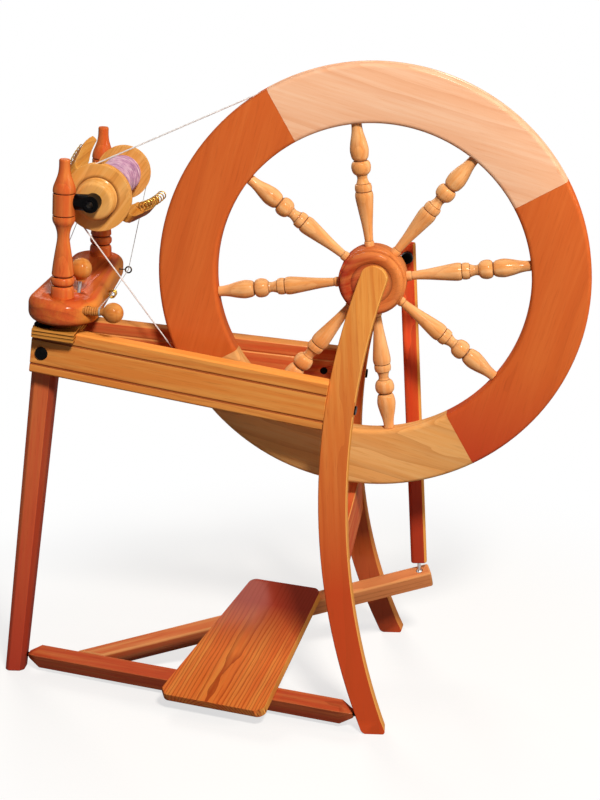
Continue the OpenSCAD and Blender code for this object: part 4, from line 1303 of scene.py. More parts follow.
@dataclass
class Table:
    """The table's rails, block and legs, with their black bolts and bushes.

    Attributes:
        splay: Lean of the curved legs, in degrees.
        rail_turn: Turn of the rails away from the table's middle line, in degrees.
    """

    splay: float = 11.0
    rail_turn: float = 6.9

    def boards(self) -> list[Board]:
        """Lists the frame's boards.

        Returns:
            The boards, with the way their wood runs.
        """
        normal = PLACES.axis("tension_turn")
        slope = Vector((normal.z, 0, -normal.x))
        lean = math.tan(math.radians(self.splay))
        out = math.tan(math.radians(self.rail_turn))
        toe = 6 * MM
        right, top = Vector((1, 0, 0)), Vector((0, 0, 1))
        # Painted light and shade: the rails' tops and the wheel legs' right sides are painted paler,
        # and the end leg's right side darker, for the light and shade that fall on them.
        return [
            Board(
                "front_rail", "frame", Wood.RAIL, slope + Vector((0, -out, 0)),
                ease=1.0 * MM, lines=True, painted_light_side=top,
            ),
            Board(
                "rear_rail", "frame", Wood.RAIL_RED, slope + Vector((0, out, 0)),
                ease=1.2 * MM, painted_light_side=top,
            ),
            Board("table_block", "frame", Wood.LAYERS, slope, normal, ease=0.5 * MM, heart=1.5),
            Board(
                "end_leg", "frame", Wood.END_LEG, -normal,
                heart=25 * MM, fade=(-0.05, 0.25), painted_light_side=right,
            ),
            Board(
                "front_wheel_leg", "frame", Wood.LEG, Vector((0.04, -lean, -1)),
                heart=30 * MM, fade=(-0.24, 0.12), corner=toe, painted_light_side=right,
            ),
            Board(
                "rear_wheel_leg", "frame", Wood.LEG_RED, Vector((0.04, lean, -1)),
                heart=45 * MM, corner=toe, painted_light_side=right,
            ),
            Board("leg_stretcher", "frame", Wood.RAIL_RED, Vector((0, 1, 0)), right),
        ]

    def build(self) -> None:
        """Builds and dresses the table."""
        for board in self.boards():
            board.build()
        bolt = Black.BOLT.value.material("blackened_bolt_steel")
        nylon = Black.NYLON.value.material("black_moulded_nylon")
        dress_solids(bolt, "leg_bolt", "rail_bolts", "barrel_nuts", "hinge_lower", "hinge_upper")
        dress_solids(nylon, "front_axle_bush", "rear_axle_bush", "rear_bearing", "rod_bush")


@dataclass
class Treadle:
    """Treadle rail, arm and board with the connecting rod.

    Attributes:
        tilt: Lift of the treadle as it stands, in degrees.
        arm_turn: Turn of the arm away from the rail, in degrees.
    """

    tilt: float = 20.0
    arm_turn: float = 32.9

    def boards(self) -> list[Board]:
        """Lists the treadle's boards and the connecting rod.

        Returns:
            The boards, with the way their wood runs.
        """
        rail = PLACES.axis("treadle_rock")
        turn = Matrix.Rotation(math.radians(self.tilt), 3, rail)
        back = turn @ Vector((-rail.y, rail.x, 0))
        face = turn @ Vector((0, 0, 1))
        swing = math.radians(self.arm_turn)
        arm = rail * math.cos(swing) + back * math.sin(swing)
        right = Vector((1, 0, 0))
        # Painted light: the treadle board's and the connecting rod's right sides are painted paler, for
        # the light that falls on them from the right.
        return [
            Board("treadle_rail", "treadle", Wood.TREADLE, rail, face, 0.8 * MM),
            Board("treadle_arm", "treadle", Wood.ARM, arm, face, 2.6 * MM, fade=(-0.15, 0.1)),
            Board(
                "treadle_board", "treadle", Wood.BOARD, back, face,
                ease=3.0 * MM, heart=22 * MM, fade=(-0.02, 0.08), painted_light_side=right,
            ),
            Board(
                "con_rod", "con_rod", Wood.ROD, Vector((0, 0, -1)),
                ease=2 * MM, fade=(-0.06, 0.14), painted_light_side=right,
            ),
        ]

    def build(self) -> None:
        """Builds and dresses the treadle."""
        for board in self.boards():
            board.build()
        dress_solids(Metal.STEEL.value.material("bright_steel_link"), "rod_link")
        dress_solids(Black.BOLT.value.material("blackened_pivot_steel"), "treadle_pins")


@dataclass
class FlyerBar:
    """Flyer bar with its maidens, tension screw, brake peg and brake line.

    Attributes:
        front: Front maiden's place along the bar.
        back: Rear maiden's place along the bar.
        radius: Largest radius of a maiden.
        height: Height of a maiden.
        edge: Start of the peg's beads from the maidens' line.
        knob_up: Tension knob above its joint's mark.
        knob: Radius of the tension knob.
        rod: Lower and upper end of the tension screw's rod, from its joint's mark.
        thread: Pitch, outer radius and inner radius of its thread.
        peg_at: Brake peg's place along and under the bar's top.
        peg_stem: Radius of the brake peg's stem.
        peg_knob: Radius of the brake peg's knob.
        boss: Front of the whorl's boss along the bar.
        brake_at: Place of the bobbin's brake groove.
        brake_radius: Radius of the brake line over the bobbin.
        line: Radius of the brake line.
        ring_at: Middle of the steel screw eye, in the bar's frame.
        eye_at: Middle of the brass line eye.
        eye_wire: Radius of the two eyes' wire.
        hook_at: Spring hook's place across and under the bar's top.
        straight: Ends of the drawn bar's straight sides, with its middle line and half its width.
        side: Depth of the bar's rounded sides.
        broad: Place across and along, and radius, of the bar's front end.
        narrow: The same for its rear end.
    """

    front: float = -38 * MM
    back: float = 190 * MM
    radius: float = 14.7 * MM
    height: float = 182 * MM
    edge: float = 37 * MM
    knob_up: float = 38 * MM
    knob: float = 14.25 * MM
    rod: tuple[float, float] = (-44.5 * MM, 34 * MM)
    thread: tuple[float, float, float] = (1.5 * MM, 2.25 * MM, 1.75 * MM)
    peg_at: tuple[float, float] = (-55 * MM, -11.33 * MM)
    peg_stem: float = 5 * MM
    peg_knob: float = 13.5 * MM
    boss: float = -27.5 * MM
    brake_at: float = 165 * MM
    brake_radius: float = 33.8 * MM
    line: float = 0.5 * MM
    ring_at: tuple[float, float, float] = (48 * MM, 153 * MM, -8.6 * MM)
    eye_at: tuple[float, float, float] = (46 * MM, 58 * MM, -18 * MM)
    eye_wire: float = 1.1 * MM
    hook_at: tuple[float, float] = (-52 * MM, -11 * MM)
    straight: tuple[float, float, float, float] = (-32 * MM, 184 * MM, -6 * MM, 40 * MM)
    side: float = 12.4 * MM
    broad: tuple[float, float, float] = (0 * MM, -25 * MM, 47 * MM)
    narrow: tuple[float, float, float] = (-4 * MM, 187 * MM, 37 * MM)

    def tapered(self, point: Vector) -> Vector:
        """Moves a point of the bar's rounded side so that the sides taper to the back.

        Args:
            point: A point in the bar's frame.

        Returns:
            The moved point; points away from the sides stay.
        """
        low, high, across, half = self.straight
        along = clamp(point.y, low, high)
        off = Vector((point.x - across, point.y - along))
        if off.length < half - self.side:
            return point
        share = (along - low) / (high - low)
        x, y, radius = (a + (b - a) * share for a, b in zip(self.broad, self.narrow))
        off *= (off.length + radius - half) / off.length
        return Vector((x + off.x, y + off.y, point.z))

    def bar(self) -> None:
        """Eases the bar, broad at the front and narrow at the back, paints light on its right side and
        shade under it, and dresses it.
        """
        piece = eased("maiden_bar", 0.8 * MM)
        place = PLACES.bar()
        wear_and_painted_light, groove_and_shade_dark = (piece.data.attributes[name].data for name in ("wear_and_painted_light", "groove"))
        right, up = (place.to_3x3() @ Vector(axis) for axis in ((1, 0, 0), (0, 0, 1)))
        # Painted light and shade: faces turned to the right are painted paler for the light from that
        # side, and faces turned down darker for the shade under the nose.
        side_from, side_over, under_from, under_over = 0.45, 0.3, 0.5, 0.35
        for face in piece.data.polygons:
            pale = clamp((face.normal.dot(right) - side_from) / side_over)
            under = clamp((-face.normal.dot(up) - under_from) / under_over)
            for i in face.loop_indices:
                wear_and_painted_light[i].value = pale
                groove_and_shade_dark[i].value = under
        for vert in piece.data.vertices:
            vert.co = place @ self.tapered(place.inverted() @ vert.co)
        grain = Grain(Vector((0, 1, 0)), middle("maiden_bar"), PLACES.axis("tension_turn"))
        dress(piece, Wood.BAR.value.material("lacquered_beech_flyer_bar", grain))
        stand_in(piece, "mother_of_all", "frame_wood", "maiden_bar")

    def maiden_profile(self) -> Profile:
        """Draws a turned maiden.

        Returns:
            The profile, from its tenon to its top.
        """
        drawn = (
            (1.04, 0.0), (1.04, 0.0), (1.04, 0.045), (1.0, 0.068), (0.9, 0.080), (0.80, 0.084),
            (0.80, 0.084), (0.80, 0.090), (0.80, 0.090), (0.94, 0.095), (1.02, 0.106), (1.045, 0.120),
            (1.02, 0.134), (0.94, 0.145), (0.80, 0.150), (0.80, 0.150), (0.80, 0.156), (0.80, 0.156),
            (0.93, 0.160), (0.98, 0.168), (0.97, 0.18), (0.90, 0.235), (0.79, 0.30), (0.66, 0.365),
            (0.57, 0.415), (0.555, 0.445), (0.59, 0.475), (0.74, 0.517), (0.93, 0.545), (1.0, 0.566),
            (1.0, 0.590), (1.0, 0.590), (0.9, 0.594), (0.9, 0.599), (0.9, 0.599), (1.0, 0.603),
            (1.0, 0.603), (1.0, 0.752), (1.0, 0.752), (0.9, 0.756), (0.9, 0.761), (0.9, 0.761),
            (1.0, 0.765), (1.0, 0.785), (0.93, 0.812), (0.74, 0.852), (0.58, 0.892), (0.50, 0.935),
            (0.485, 0.972), (0.49, 0.985), (0.47, 0.995), (0.42, 1.0),
        )
        body = rounded([(r * self.radius, f * self.height) for r, f in drawn], 4)
        tenon, deep = 8 * MM, -19 * MM
        return [(0, deep), (tenon, deep), (tenon, 0), *body, (0, self.height)]

    def maiden(self, name: str, along: float) -> bpy.types.Object:
        """Turns one maiden and dresses it.

        Args:
            name: The piece's name.
            along: Its place along the bar.

        Returns:
            The piece.
        """
        place = PLACES.bar() @ Matrix.Translation((0, along, 0))
        piece = turned(name, self.maiden_profile(), place, steps=56)
        up = place.to_3x3() @ Vector((0, 0, 1))
        grain = Grain(up, place @ Vector((0, 0, along)), heart=14 * MM)
        return dress(piece, Wood.TURNED.value.material(f"lacquered_beech_{name}", grain))

    def tension_screw(self) -> None:
        """Turns the tension screw's threaded rod and its ball knob."""
        mark, up = PLACES.point("tension_turn"), PLACES.axis("tension_turn")
        place = Matrix.Translation(mark) @ up.to_track_quat("Z", "Y").to_matrix().to_4x4()
        low, high = self.rod
        pitch, crest, root = self.thread
        count = int((high - low) / pitch)
        thread: Profile = [(0, low)]
        for i in range(count):
            base = low + i * pitch
            thread += [(root, base), (crest, base + 0.4 * pitch), (crest, base + 0.6 * pitch)]
        thread += [(root, low + count * pitch), (0, low + count * pitch)]
        rod = turned("threaded_tension_rod", thread, place, steps=24, crease=20.0)
        dress(rod, Metal.STEEL.value.material("zinc_plated_thread"))
        stand_in(rod, "tension_screw", "steel", "tension_rod")
        r, centre = self.knob, self.knob_up
        neck, foot = 0.42 * r, centre - r - 1.5 * MM
        turns = [math.radians(d) for d in range(-62, 91, 8)]
        ball = [(r * math.cos(a), centre + r * math.sin(a)) for a in turns]
        line = [(0, foot), (neck, foot), (neck, foot), (neck, foot + 2 * MM), *ball, (0, centre + r)]
        knob = turned("tension_ball_knob", line, place, steps=40)
        grain = Grain(up, mark, heart=6 * MM)
        dress(knob, Wood.KNOB.value.material("lacquered_beech_tension_knob", grain))
        stand_in(knob, "tension_screw", "turned_wood", "tension_knob")

    def brake_peg(self) -> None:
        """Turns the brake peg, with beads on its stem and a ball at its end."""
        along, under = self.peg_at
        turn = Matrix.Rotation(math.pi / 2, 4, "Y")
        place = PLACES.bar() @ Matrix.Translation((0, along, under)) @ turn
        stem, edge, k = self.peg_stem, self.edge, self.peg_knob
        line: Profile = [(0, edge - 23 * MM), (stem, edge - 23 * MM), (stem, edge - 2.8 * MM)]
        beads, bead = 6, 3 * MM
        for i in range(beads):
            base = edge - 2.6 * MM + bead * i
            for proud, rise in ((-0.2, 0), (0.7, 0.7), (0.9, 1.5), (0.7, 2.3)):
                line.append((stem + proud * MM, base + rise * MM))
        neck, centre = stem - 0.6 * MM, edge + 34.5 * MM
        line += [(neck, edge + 15.4 * MM), (neck, centre - k - 2 * MM), (stem + 0.6 * MM, centre - k)]
        turns = [math.radians(d) for d in range(-58, 89, 6)]
        line += [(k * math.cos(a), centre + k * math.sin(a)) for a in turns]
        line += [(0, centre + k)]
        peg = turned("brake_peg_turned", line, place, steps=40)
        grain = Grain(PLACES.axis("brake_peg_turn"), place.translation, heart=7 * MM)
        dress(peg, Wood.KNOB.value.material("lacquered_beech_brake_peg", grain))
        stand_in(peg, "brake_peg", "turned_wood", "brake_peg")

    def touch(self, out: float, under: float, side: int) -> float:
        """Finds where a line from a point touches the bobbin's brake groove.

        Args:
            out: The point's place across the bar.
            under: The point's height over the bar's top.
            side: 1 for the right of the bobbin, -1 for the left.

        Returns:
            The turn of the touching point about the flyer's axis.
        """
        to = Vector((out - PLACES.flyer_out, under - PLACES.flyer_up))
        return math.atan2(to.y, to.x) + side * math.acos(self.brake_radius / to.length)

    def over_bobbin(self, start: Vector, end: Vector) -> list[Vector]:
        """Lays the brake line over the bobbin's groove.

        Args:
            start: Where the line comes from, on the left.
            end: Where it goes to, on the right.

        Returns:
            Points from where the line meets the groove to where it leaves it.
        """
        cuts = 40
        right = self.touch(end.x, end.z, 1)
        left = self.touch(start.x, start.z, -1)
        left += 2 * math.pi if left < right else 0.0
        over = []
        for i in range(cuts + 1):
            a = left + (right - left) * i / cuts
            out = PLACES.flyer_out + self.brake_radius * math.cos(a)
            up = PLACES.flyer_up + self.brake_radius * math.sin(a)
            over.append(Vector((out, self.brake_at, up)))
        return over

    def peg_wrap(self) -> list[Vector]:
        """Winds the brake line's end round its peg.

        Returns:
            Points of two turns.
        """
        along, under = self.peg_at
        radius, start, rise, turns, cuts = 5.2 * MM, self.edge + 15.7 * MM, 2.6 * MM, 2, 59
        wrap = []
        for i in range(cuts + 1):
            a = math.pi / 2 - 2 * math.pi * turns * i / cuts
            y, z = along - radius * math.cos(a), under + radius * math.sin(a)
            wrap.append(Vector((start + rise * i / cuts, y, z)))
        return wrap

    def spring(self, hook: Vector, along: Vector) -> list[Vector]:
        """Coils the brake spring.

        Args:
            hook: The hook that holds it.
            along: Direction of its axis.

        Returns:
            Points of its wire, with a straight end on both sides.
        """
        low, turns, pitch, radius, cuts = 6.5 * MM, 9, 2 * MM, 3 * MM, 20
        top = low + turns * pitch
        side = Vector((0, 1, 0))
        across = along.cross(side)
        coil = [hook + along * 5.4 * MM, hook + along * (low - 0.2 * MM)]
        for i in range(turns * cuts + 1):
            a = 2 * math.pi * i / cuts
            rise = low + pitch * i / cuts
            coil.append(hook + along * rise + (side * math.sin(a) + across * math.cos(a)) * radius)
        return coil + [hook + along * (top + 0.2 * MM), hook + along * (top + 4.4 * MM)]

    def brake(self) -> None:
        """Strings the brake line from its spring over the bobbin and through two eyes to its peg."""
        place = PLACES.bar()
        ring, eye = Vector(self.ring_at), Vector(self.eye_at)
        hook_out, hook_up = self.hook_at
        hook = Vector((hook_out, self.brake_at, hook_up))
        over = self.over_bobbin(hook, ring)
        along = (over[0] - hook).normalized()
        coil = self.spring(hook, along)
        loose = coil[-1] + along * 0.3 * MM
        path = [loose, *over, ring, eye, *self.peg_wrap()]
        line = wire("brake_line_strand", [path], self.line, place=place)
        dress(line, Fibre.NYLON_LINE.value.material("nylon_monofilament"))
        stand_in(line, "mother_of_all", "nylon_line", "brake_line")
        spring = wire("brake_spring_coil", [coil], 0.55 * MM, place=place)
        dress(spring, Metal.STEEL.value.material("bright_spring_wire"))
        stand_in(spring, "mother_of_all", "steel", "brake_spring")

    def build(self) -> None:
        """Builds and dresses the flyer bar."""
        self.bar()
        for node, along in (("front_maiden", self.front), ("rear_maiden", self.back)):
            stand_in(self.maiden(f"{node}_turned", along), "mother_of_all", "turned_wood", node)
        self.tension_screw()
        self.brake_peg()
        self.brake()
        self.eyes()
        self.bearing()
        dress_solids(Metal.STEEL.value.material("bright_steel_hook"), "spring_hook")

    def bearing(self) -> None:
        """Flattens the stem of the front bearing and brings its ring up to the whorl's boss."""
        piece = eased("front_bearing", 0.8 * MM)
        place = PLACES.bar()
        run, flat, forward = 12 * MM, 0.6, 0.9
        for vert in piece.data.vertices:
            point = place.inverted() @ vert.co
            share = clamp((point.x - self.radius) / run)
            deep = flat + (1 - flat) * share
            if point.y > self.front:
                deep += forward * share
            point.y = min(self.front + (point.y - self.front) * deep, self.boss)
            vert.co = place @ point
        dress(piece, Black.NYLON.value.material("black_moulded_nylon_bearing"))
        stand_in(piece, "mother_of_all", "black_plastic", "front_bearing")

    def eyes(self) -> None:
        """Bends the screw eye's ring and the two loops of the brass line eye."""
        place = PLACES.bar()
        ring, eye = Vector(self.ring_at), Vector(self.eye_at)
        side, leaning, upright = Vector((1, 0, 0)), Vector((0, 0.31, 0.95)), Vector((0, 0, 1))
        loop, inner, cuts = 4.2 * MM, 24 * MM, 33
        bend = [Vector((inner, ring.y, ring.z))]
        for i in range(cuts):
            a = math.pi + 2 * math.pi * i / cuts
            bend.append(ring + (side * math.cos(a) + leaning * math.sin(a)) * loop)
        steel = wire("screw_eye_wire", [bend + [bend[1]]], self.eye_wire, 12, place=place)
        dress(steel, Metal.DARK_STEEL.value.material("oiled_dark_steel_eye"))
        stand_in(steel, "mother_of_all", "steel", "screw_eye")
        count, pitch, start = 89, 4 * MM, -5 * MM
        coil = [Vector((inner, eye.y, eye.z))]
        for i in range(count):
            a = math.pi + 2 * math.pi * i / cuts
            drop = Vector((0, pitch * i / cuts + start, 0))
            coil.append(eye + drop + (side * math.cos(a) + upright * math.sin(a)) * 1.1 * loop)
        brass = wire("line_eye_wire", [coil], self.eye_wire, 12, place=place)
        dress(brass, Metal.BRASS.value.material("brass_line_eye"))
        stand_in(brass, "mother_of_all", "brass", "line_eye")


@dataclass
class Flyer:
    """Flyer yoke with its whorl, spindle and hooks, and the bobbin with its yarn.

    Attributes:
        whorl: Radius of the large whorl.
        small: Radius of the small whorl.
        tube: Radius of the orifice tube.
        bobbin: Radius of the bobbin's rear end.
        yarn_front: Front end of the wound yarn along the flyer's axis.
        yarn_back: Rear end of the wound yarn.
        yarn: Radius over the wound yarn.
        strand: Radius of one strand of yarn.
        loops: Turns of yarn in the outer layer.
        turn: Turn of the flyer's arms as it stands, in degrees.
        spread: Middle of the arms' tips from the axis.
        root: Where the arms leave the yoke's cross bar.
        tip: Where they end.
        width: Width of an arm.
        drift: How far the upper arm's tip stands out and to the side.
    """

    whorl: float = 44.5 * MM
    small: float = 27 * MM
    tube: float = 7 * MM
    bobbin: float = 36.5 * MM
    yarn_front: float = 41.2 * MM
    yarn_back: float = 156.8 * MM
    yarn: float = 26 * MM
    strand: float = 1.05 * MM
    loops: int = 54
    turn: float = 142.0
    spread: float = 60 * MM
    root: float = 25 * MM
    tip: float = 156 * MM
    width: float = 14 * MM
    drift: tuple[float, float] = (3 * MM, 5 * MM)

    def yoke(self) -> None:
        """Eases the yoke, thickens its arms towards their roots, paints shade on their outer faces and
        turns it to where it stands.
        """
        drawn, drawn_turn, bow = 64 * MM, 145.0, 16 * MM
        fuller, at_root, outer_face_shade = 1.5 * MM, 6.5 * MM, 0.6
        piece = eased("flyer_yoke", 1.6 * MM)
        place = PLACES.flyer()
        flat = Matrix.Rotation(math.radians(drawn_turn), 4, "Z") @ place.inverted()
        back = place @ Matrix.Rotation(math.radians(-self.turn), 4, "Z")
        for vert in piece.data.vertices:
            point = flat @ vert.co
            share = (point.z - self.root) / (self.tip - self.root)
            if share > 0.02:
                inward = (drawn - self.spread) * min(3 * share, 1.0)
                if abs(point.x) < drawn - bow * (1 - share) ** 2:
                    inward += fuller + at_root * (1 - share)
                point.x -= math.copysign(inward, point.x)
                if point.x > 0:
                    point += Vector((*self.drift, 0)) * share**2
            vert.co = back @ point
        # Painted shade: the arms' outer faces are painted darker for the shade on them.
        groove_and_shade_dark = piece.data.attributes["groove"].data
        for face in piece.data.polygons:
            centre = back.inverted() @ face.center
            out = back.to_3x3().inverted() @ face.normal
            if centre.z > self.root and out.x * centre.x > 0.5 * abs(centre.x):
                for i in face.loop_indices:
                    groove_and_shade_dark[i].value = outer_face_shade
        grain = Grain(Vector((0, 1, 0)), middle("flyer_yoke"), Vector((1, 0, 1)))
        dress(piece, Wood.YOKE.value.material("lacquered_maple_yoke", grain))
        stand_in(piece, "flyer", "pale_wood", "flyer_yoke")

    def hooks(self) -> None:
        """Bends the cup hooks along the leading face of each arm."""
        brass = Metal.BRASS.value.material("brass_hook_wire")
        first, last, count, loop = 56 * MM, self.tip - 6 * MM, 8, 5.6 * MM
        bow, shank, cuts = 15 * MM, 7 * MM, 20
        for node, side in (("upper_hooks", 0.0), ("lower_hooks", 180.0)):
            place = PLACES.flyer() @ Matrix.Rotation(math.radians(side - self.turn), 4, "Z")
            paths = []
            for i in range(count):
                along = first + (last - first) * i / (count - 1)
                share = (along - self.root) / (self.tip - self.root)
                out = self.spread - bow * (1 - share) ** 2
                low = -self.width / 2 - 1.5 * MM
                if not side:
                    out += self.drift[0] * share**2
                    low += self.drift[1] * share**2
                path = [Vector((out, low + shank, along)), Vector((out, low, along))]
                for k in range(cuts):
                    a = math.radians(90 + 15 * (k + 1))
                    x, y = out + loop * math.cos(a), low - loop + loop * math.sin(a)
                    path.append(Vector((x, y, along)))
                paths.append(path)
            row = dress(wire(f"{node}_wire", paths, 0.85 * MM, 10, place=place), brass)
            stand_in(row, "flyer", "brass", node)

    def lathe(
        self,
        name: str,
        points: Sequence[tuple[float, float]],
        slot: str,
        body: str,
        node: str,
    ) -> None:
        """Turns a flyer piece from millimetre points and places it.

        Args:
            name: The piece's name.
            points: Radius and place along the axis, in millimetres, round a closed section.
            slot: The record's material slot.
            body: The body that carries it.
            node: The solid that it replaces.
        """
        line = rounded([(r * MM, y * MM) for r, y in points], 4)
        piece = turned(name, [*line, line[0]], PLACES.flyer(), steps=72)
        grain = Grain(Vector((0.62, 0, 0.78)), PLACES.point("flyer_spin"), heart=120 * MM)
        dress(piece, Wood.FLYER.value.material(f"lacquered_maple_{name}", grain))
        stand_in(piece, body, slot, node)

    def whorl_piece(self) -> None:
        """Turns the stepped whorl with a groove on each step."""
        w, s, t = self.whorl / MM, self.small / MM, self.tube / MM + 0.02
        points = (
            (t, -27), (t, -27), (s - 8, -27), (s - 5, -26.4), (s - 2.5, -24.7), (s - 1, -22.2),
            (s - 0.3, -19.6), (s, -17), (s, -15.6), (s, -15.6), (s - 4, -14.2), (s - 4, -12.4),
            (s, -9.6), (s, -9.6), (s, -6.5), (s, -6.5), (w - 1.6, -6.5), (w - 0.5, -6.1), (w, -5.2),
            (w, -3.8), (w, -3.8), (w - 5.8, -1.8), (w - 5.8, -1.8), (w - 5.8, 1.8), (w - 5.8, 1.8),
            (w, 3.8), (w, 3.8), (w, 5.2), (w - 0.5, 6.1), (w - 1.6, 6.5), (w - 1.6, 6.5),
            (t, 6.5), (t, 6.5), (t, -26.9),
        )
        self.lathe("stepped_whorl", points, "pale_wood", "flyer", "flyer_whorl")

    def bobbin_ends(self) -> None:
        """Turns the bobbin's two ends, the rear one with the brake groove."""
        r, b = self.bobbin / MM, 11.02
        f = r - 2.5
        front = (
            (b, 34), (b, 34), (f - 1.8, 34), (f - 0.5, 34.5), (f, 35.8), (f, 39.2), (f - 0.5, 40.5),
            (f - 1.6, 41), (f - 1.6, 41), (b, 41), (b, 41), (b, 34.1),
        )
        rear = (
            (b, 157), (b, 157), (r - 1.6, 157), (r - 0.4, 157.4), (r, 158.6), (r, 162.4), (r, 162.4),
            (r - 3.5, 163.8), (r - 3.5, 163.8), (r - 3.5, 166.2), (r - 3.5, 166.2), (r, 167.6),
            (r, 167.6), (r, 168.6), (r - 0.5, 169.6), (r - 1.6, 170), (r - 1.6, 170), (b, 170),
            (b, 170), (b, 157.1),
        )
        self.lathe("bobbin_front_disc", front, "pale_wood", "bobbin", "bobbin_front_end")
        self.lathe("bobbin_rear_disc", rear, "pale_wood", "bobbin", "bobbin_rear_end")

    def winding(self) -> list[list[Vector]]:
        """Winds the yarn: one close outer layer with a hand's unevenness, and a few crossing turns.

        Returns:
            The paths of the strands, in the flyer's frame.
        """
        rng = random.Random(7)
        steps, uneven, wave = 36, 0.5 * MM, 0.12 * MM
        span = self.yarn_back - self.yarn_front - 2 * self.strand
        drift = [rng.uniform(-0.5, 0.5) for _ in range(self.loops + 2)]
        swell = [rng.uniform(-0.45, 0.25) for _ in range(self.loops + 2)]
        layers = []
        close = []
        for i in range(self.loops * steps + 1):
            loop, part = divmod(i, steps)
            t = part / steps
            nudge = drift[loop] * (1 - t) + drift[loop + 1] * t
            rise = swell[loop] * (1 - t) + swell[loop + 1] * t
            y = self.yarn_front + self.strand + span * i / (self.loops * steps) + nudge * uneven
            y = clamp(y, self.yarn_front + self.strand, self.yarn_back - self.strand)
            r = self.yarn - 2.2 * self.strand + rise * uneven
            a = 2 * math.pi * t
            close.append(Vector((r * math.cos(a), r * math.sin(a), y)))
        layers.append(close)
        crossings = ((0.04, 0.46, 9, 0.3), (0.55, 0.30, 6, 2.1), (0.42, 0.97, 12, 4.0))
        for start, end, turns, phase in crossings:
            cross = []
            for i in range(turns * steps + 1):
                t = i / (turns * steps)
                y = self.yarn_front + self.strand + span * (start + (end - start) * t)
                a = phase + 2 * math.pi * turns * t
                r = self.yarn - self.strand + wave * math.sin(3.1 * a)
                cross.append(Vector((r * math.cos(a), r * math.sin(a), y)))
            layers.append(cross)
        return layers

    def yarn_piece(self) -> None:
        """Winds the yarn over its core on the bobbin's barrel."""
        place = PLACES.flyer()
        strands = wire("wound_yarn", self.winding(), self.strand, 6, place=place)
        dress(strands, Fibre.YARN.value.material("heathered_wool_yarn"))
        stand_in(strands, "bobbin", "yarn", "yarn_winding")
        bore, inner = 11.05 * MM, self.yarn - 3.0 * self.strand
        low, high = self.yarn_front, self.yarn_back
        tube = [(bore, low), (inner, low), (inner, high), (bore, high), (bore, low)]
        core = turned("yarn_inner_layers", tube, place, steps=64)
        dress(core, Fibre.YARN.value.material("heathered_wool_core"))
        stand_in(core, "bobbin", "yarn", "yarn_core")

    def build(self) -> None:
        """Builds and dresses the flyer and the bobbin."""
        self.yoke()
        self.hooks()
        self.whorl_piece()
        self.bobbin_ends()
        self.yarn_piece()
        along = Grain(Vector((0, 1, 0)), PLACES.point("flyer_spin"), heart=8 * MM)
        barrel = Wood.FLYER.value.material("lacquered_maple_barrel", along)
        dress_solids(barrel, "bobbin_barrel")
        dress_solids(Metal.STEEL.value.material("polished_spindle_steel"), "flyer_spindle")
        self.collar()

    def collar(self) -> None:
        """Presses a black moulded collar on the orifice's mouth."""
        drawn = (
            (4.7, -48.6), (7.4, -48.6), (7.4, -50.4), (7.0, -51), (5.3, -51), (4.7, -50.4),
            (4.7, -48.6),
        )
        mouth = [(r * MM, y * MM) for r, y in drawn]
        collar = turned("orifice_collar", mouth, PLACES.flyer(), steps=48)
        dress(collar, Black.NYLON.value.material("black_moulded_nylon_collar"))
        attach(collar, "flyer")


@dataclass
class DriveBand:
    """One endless twisted cord round the drive wheel and the whorl.

    Attributes:
        on_wheel: Radius of the cord's middle on the wheel.
        on_whorl: Radius of the cord's middle on the whorl.
        radius: Radius of the cord.
        plies: Strands twisted into it.
        strand_share: A strand's radius as a share of the cord's.
        lay: Length of one twist.
        step: Distance between points along the cord.
    """

    on_wheel: float = 276.55 * MM
    on_whorl: float = 40.25 * MM
    radius: float = 1.05 * MM
    plies: int = 3
    strand_share: float = 0.66
    lay: float = 7 * MM
    step: float = 0.9 * MM

    def centres(self) -> tuple[Vector, Vector]:
        """Finds the two circles that the cord runs round.

        Returns:
            The wheel's and the whorl's centre, both in the wheel's plane.
        """
        wheel, hub = PLACES.point("wheel_spin"), PLACES.point("flyer_spin")
        hub.y = wheel.y
        return wheel, hub

    def route(self) -> list[tuple[Vector, Vector]]:
        """Lays the cord's middle line: wheel arc, upper run, whorl arc and lower run.

        Returns:
            Points in the wheel's plane, each with its outward direction.
        """
        wheel, hub = self.centres()
        away = hub - wheel
        line = math.atan2(away.z, away.x)
        spread = math.acos((self.on_wheel - self.on_whorl) / away.length)
        run = away.length * math.sin(spread)
        points: list[tuple[Vector, Vector]] = []
        for centre, radius, start, sweep in (
            (wheel, self.on_wheel, line + spread, 2 * math.pi - 2 * spread),
            (hub, self.on_whorl, line - spread, 2 * spread),
        ):
            count = int(radius * sweep / self.step)
            for i in range(count):
                a = start + sweep * i / count
                out = Vector((math.cos(a), 0, math.sin(a)))
                points.append((centre + out * radius, out))
            a = start + sweep
            out = Vector((math.cos(a), 0, math.sin(a)))
            ahead = Vector((-math.sin(a), 0, math.cos(a)))
            for i in range(int(run / self.step)):
                points.append((centre + out * radius + ahead * self.step * i, out))
        return points

    def build(self) -> None:
        """Twists the cord round the wheel and the whorl."""
        route = self.route()
        lengths = [0.0]
        for (a, _), (b, _) in zip(route, route[1:] + route[:1]):
            lengths.append(lengths[-1] + (b - a).length)
        whole = lengths[-1]
        twists = round(whole / self.lay)
        strand = self.radius * self.strand_share
        offset = self.radius - strand
        side = Vector((0, 1, 0))
        paths = []
        for ply in range(self.plies):
            path = []
            for (point, out), length in zip(route, lengths):
                a = 2 * math.pi * (twists * length / whole + ply / self.plies)
                path.append(point + (out * math.cos(a) + side * math.sin(a)) * offset)
            paths.append(path)
        band = wire("twisted_drive_band", paths, strand, 6, closed=True)
        dress(band, Fibre.BAND.value.material("white_twisted_cord"))
        wheel, hub = self.centres()
        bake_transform(band)
        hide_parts("drive_band")
        LOG.info("%s runs from the wheel to the whorl, %.3f m round", band.name, whole)


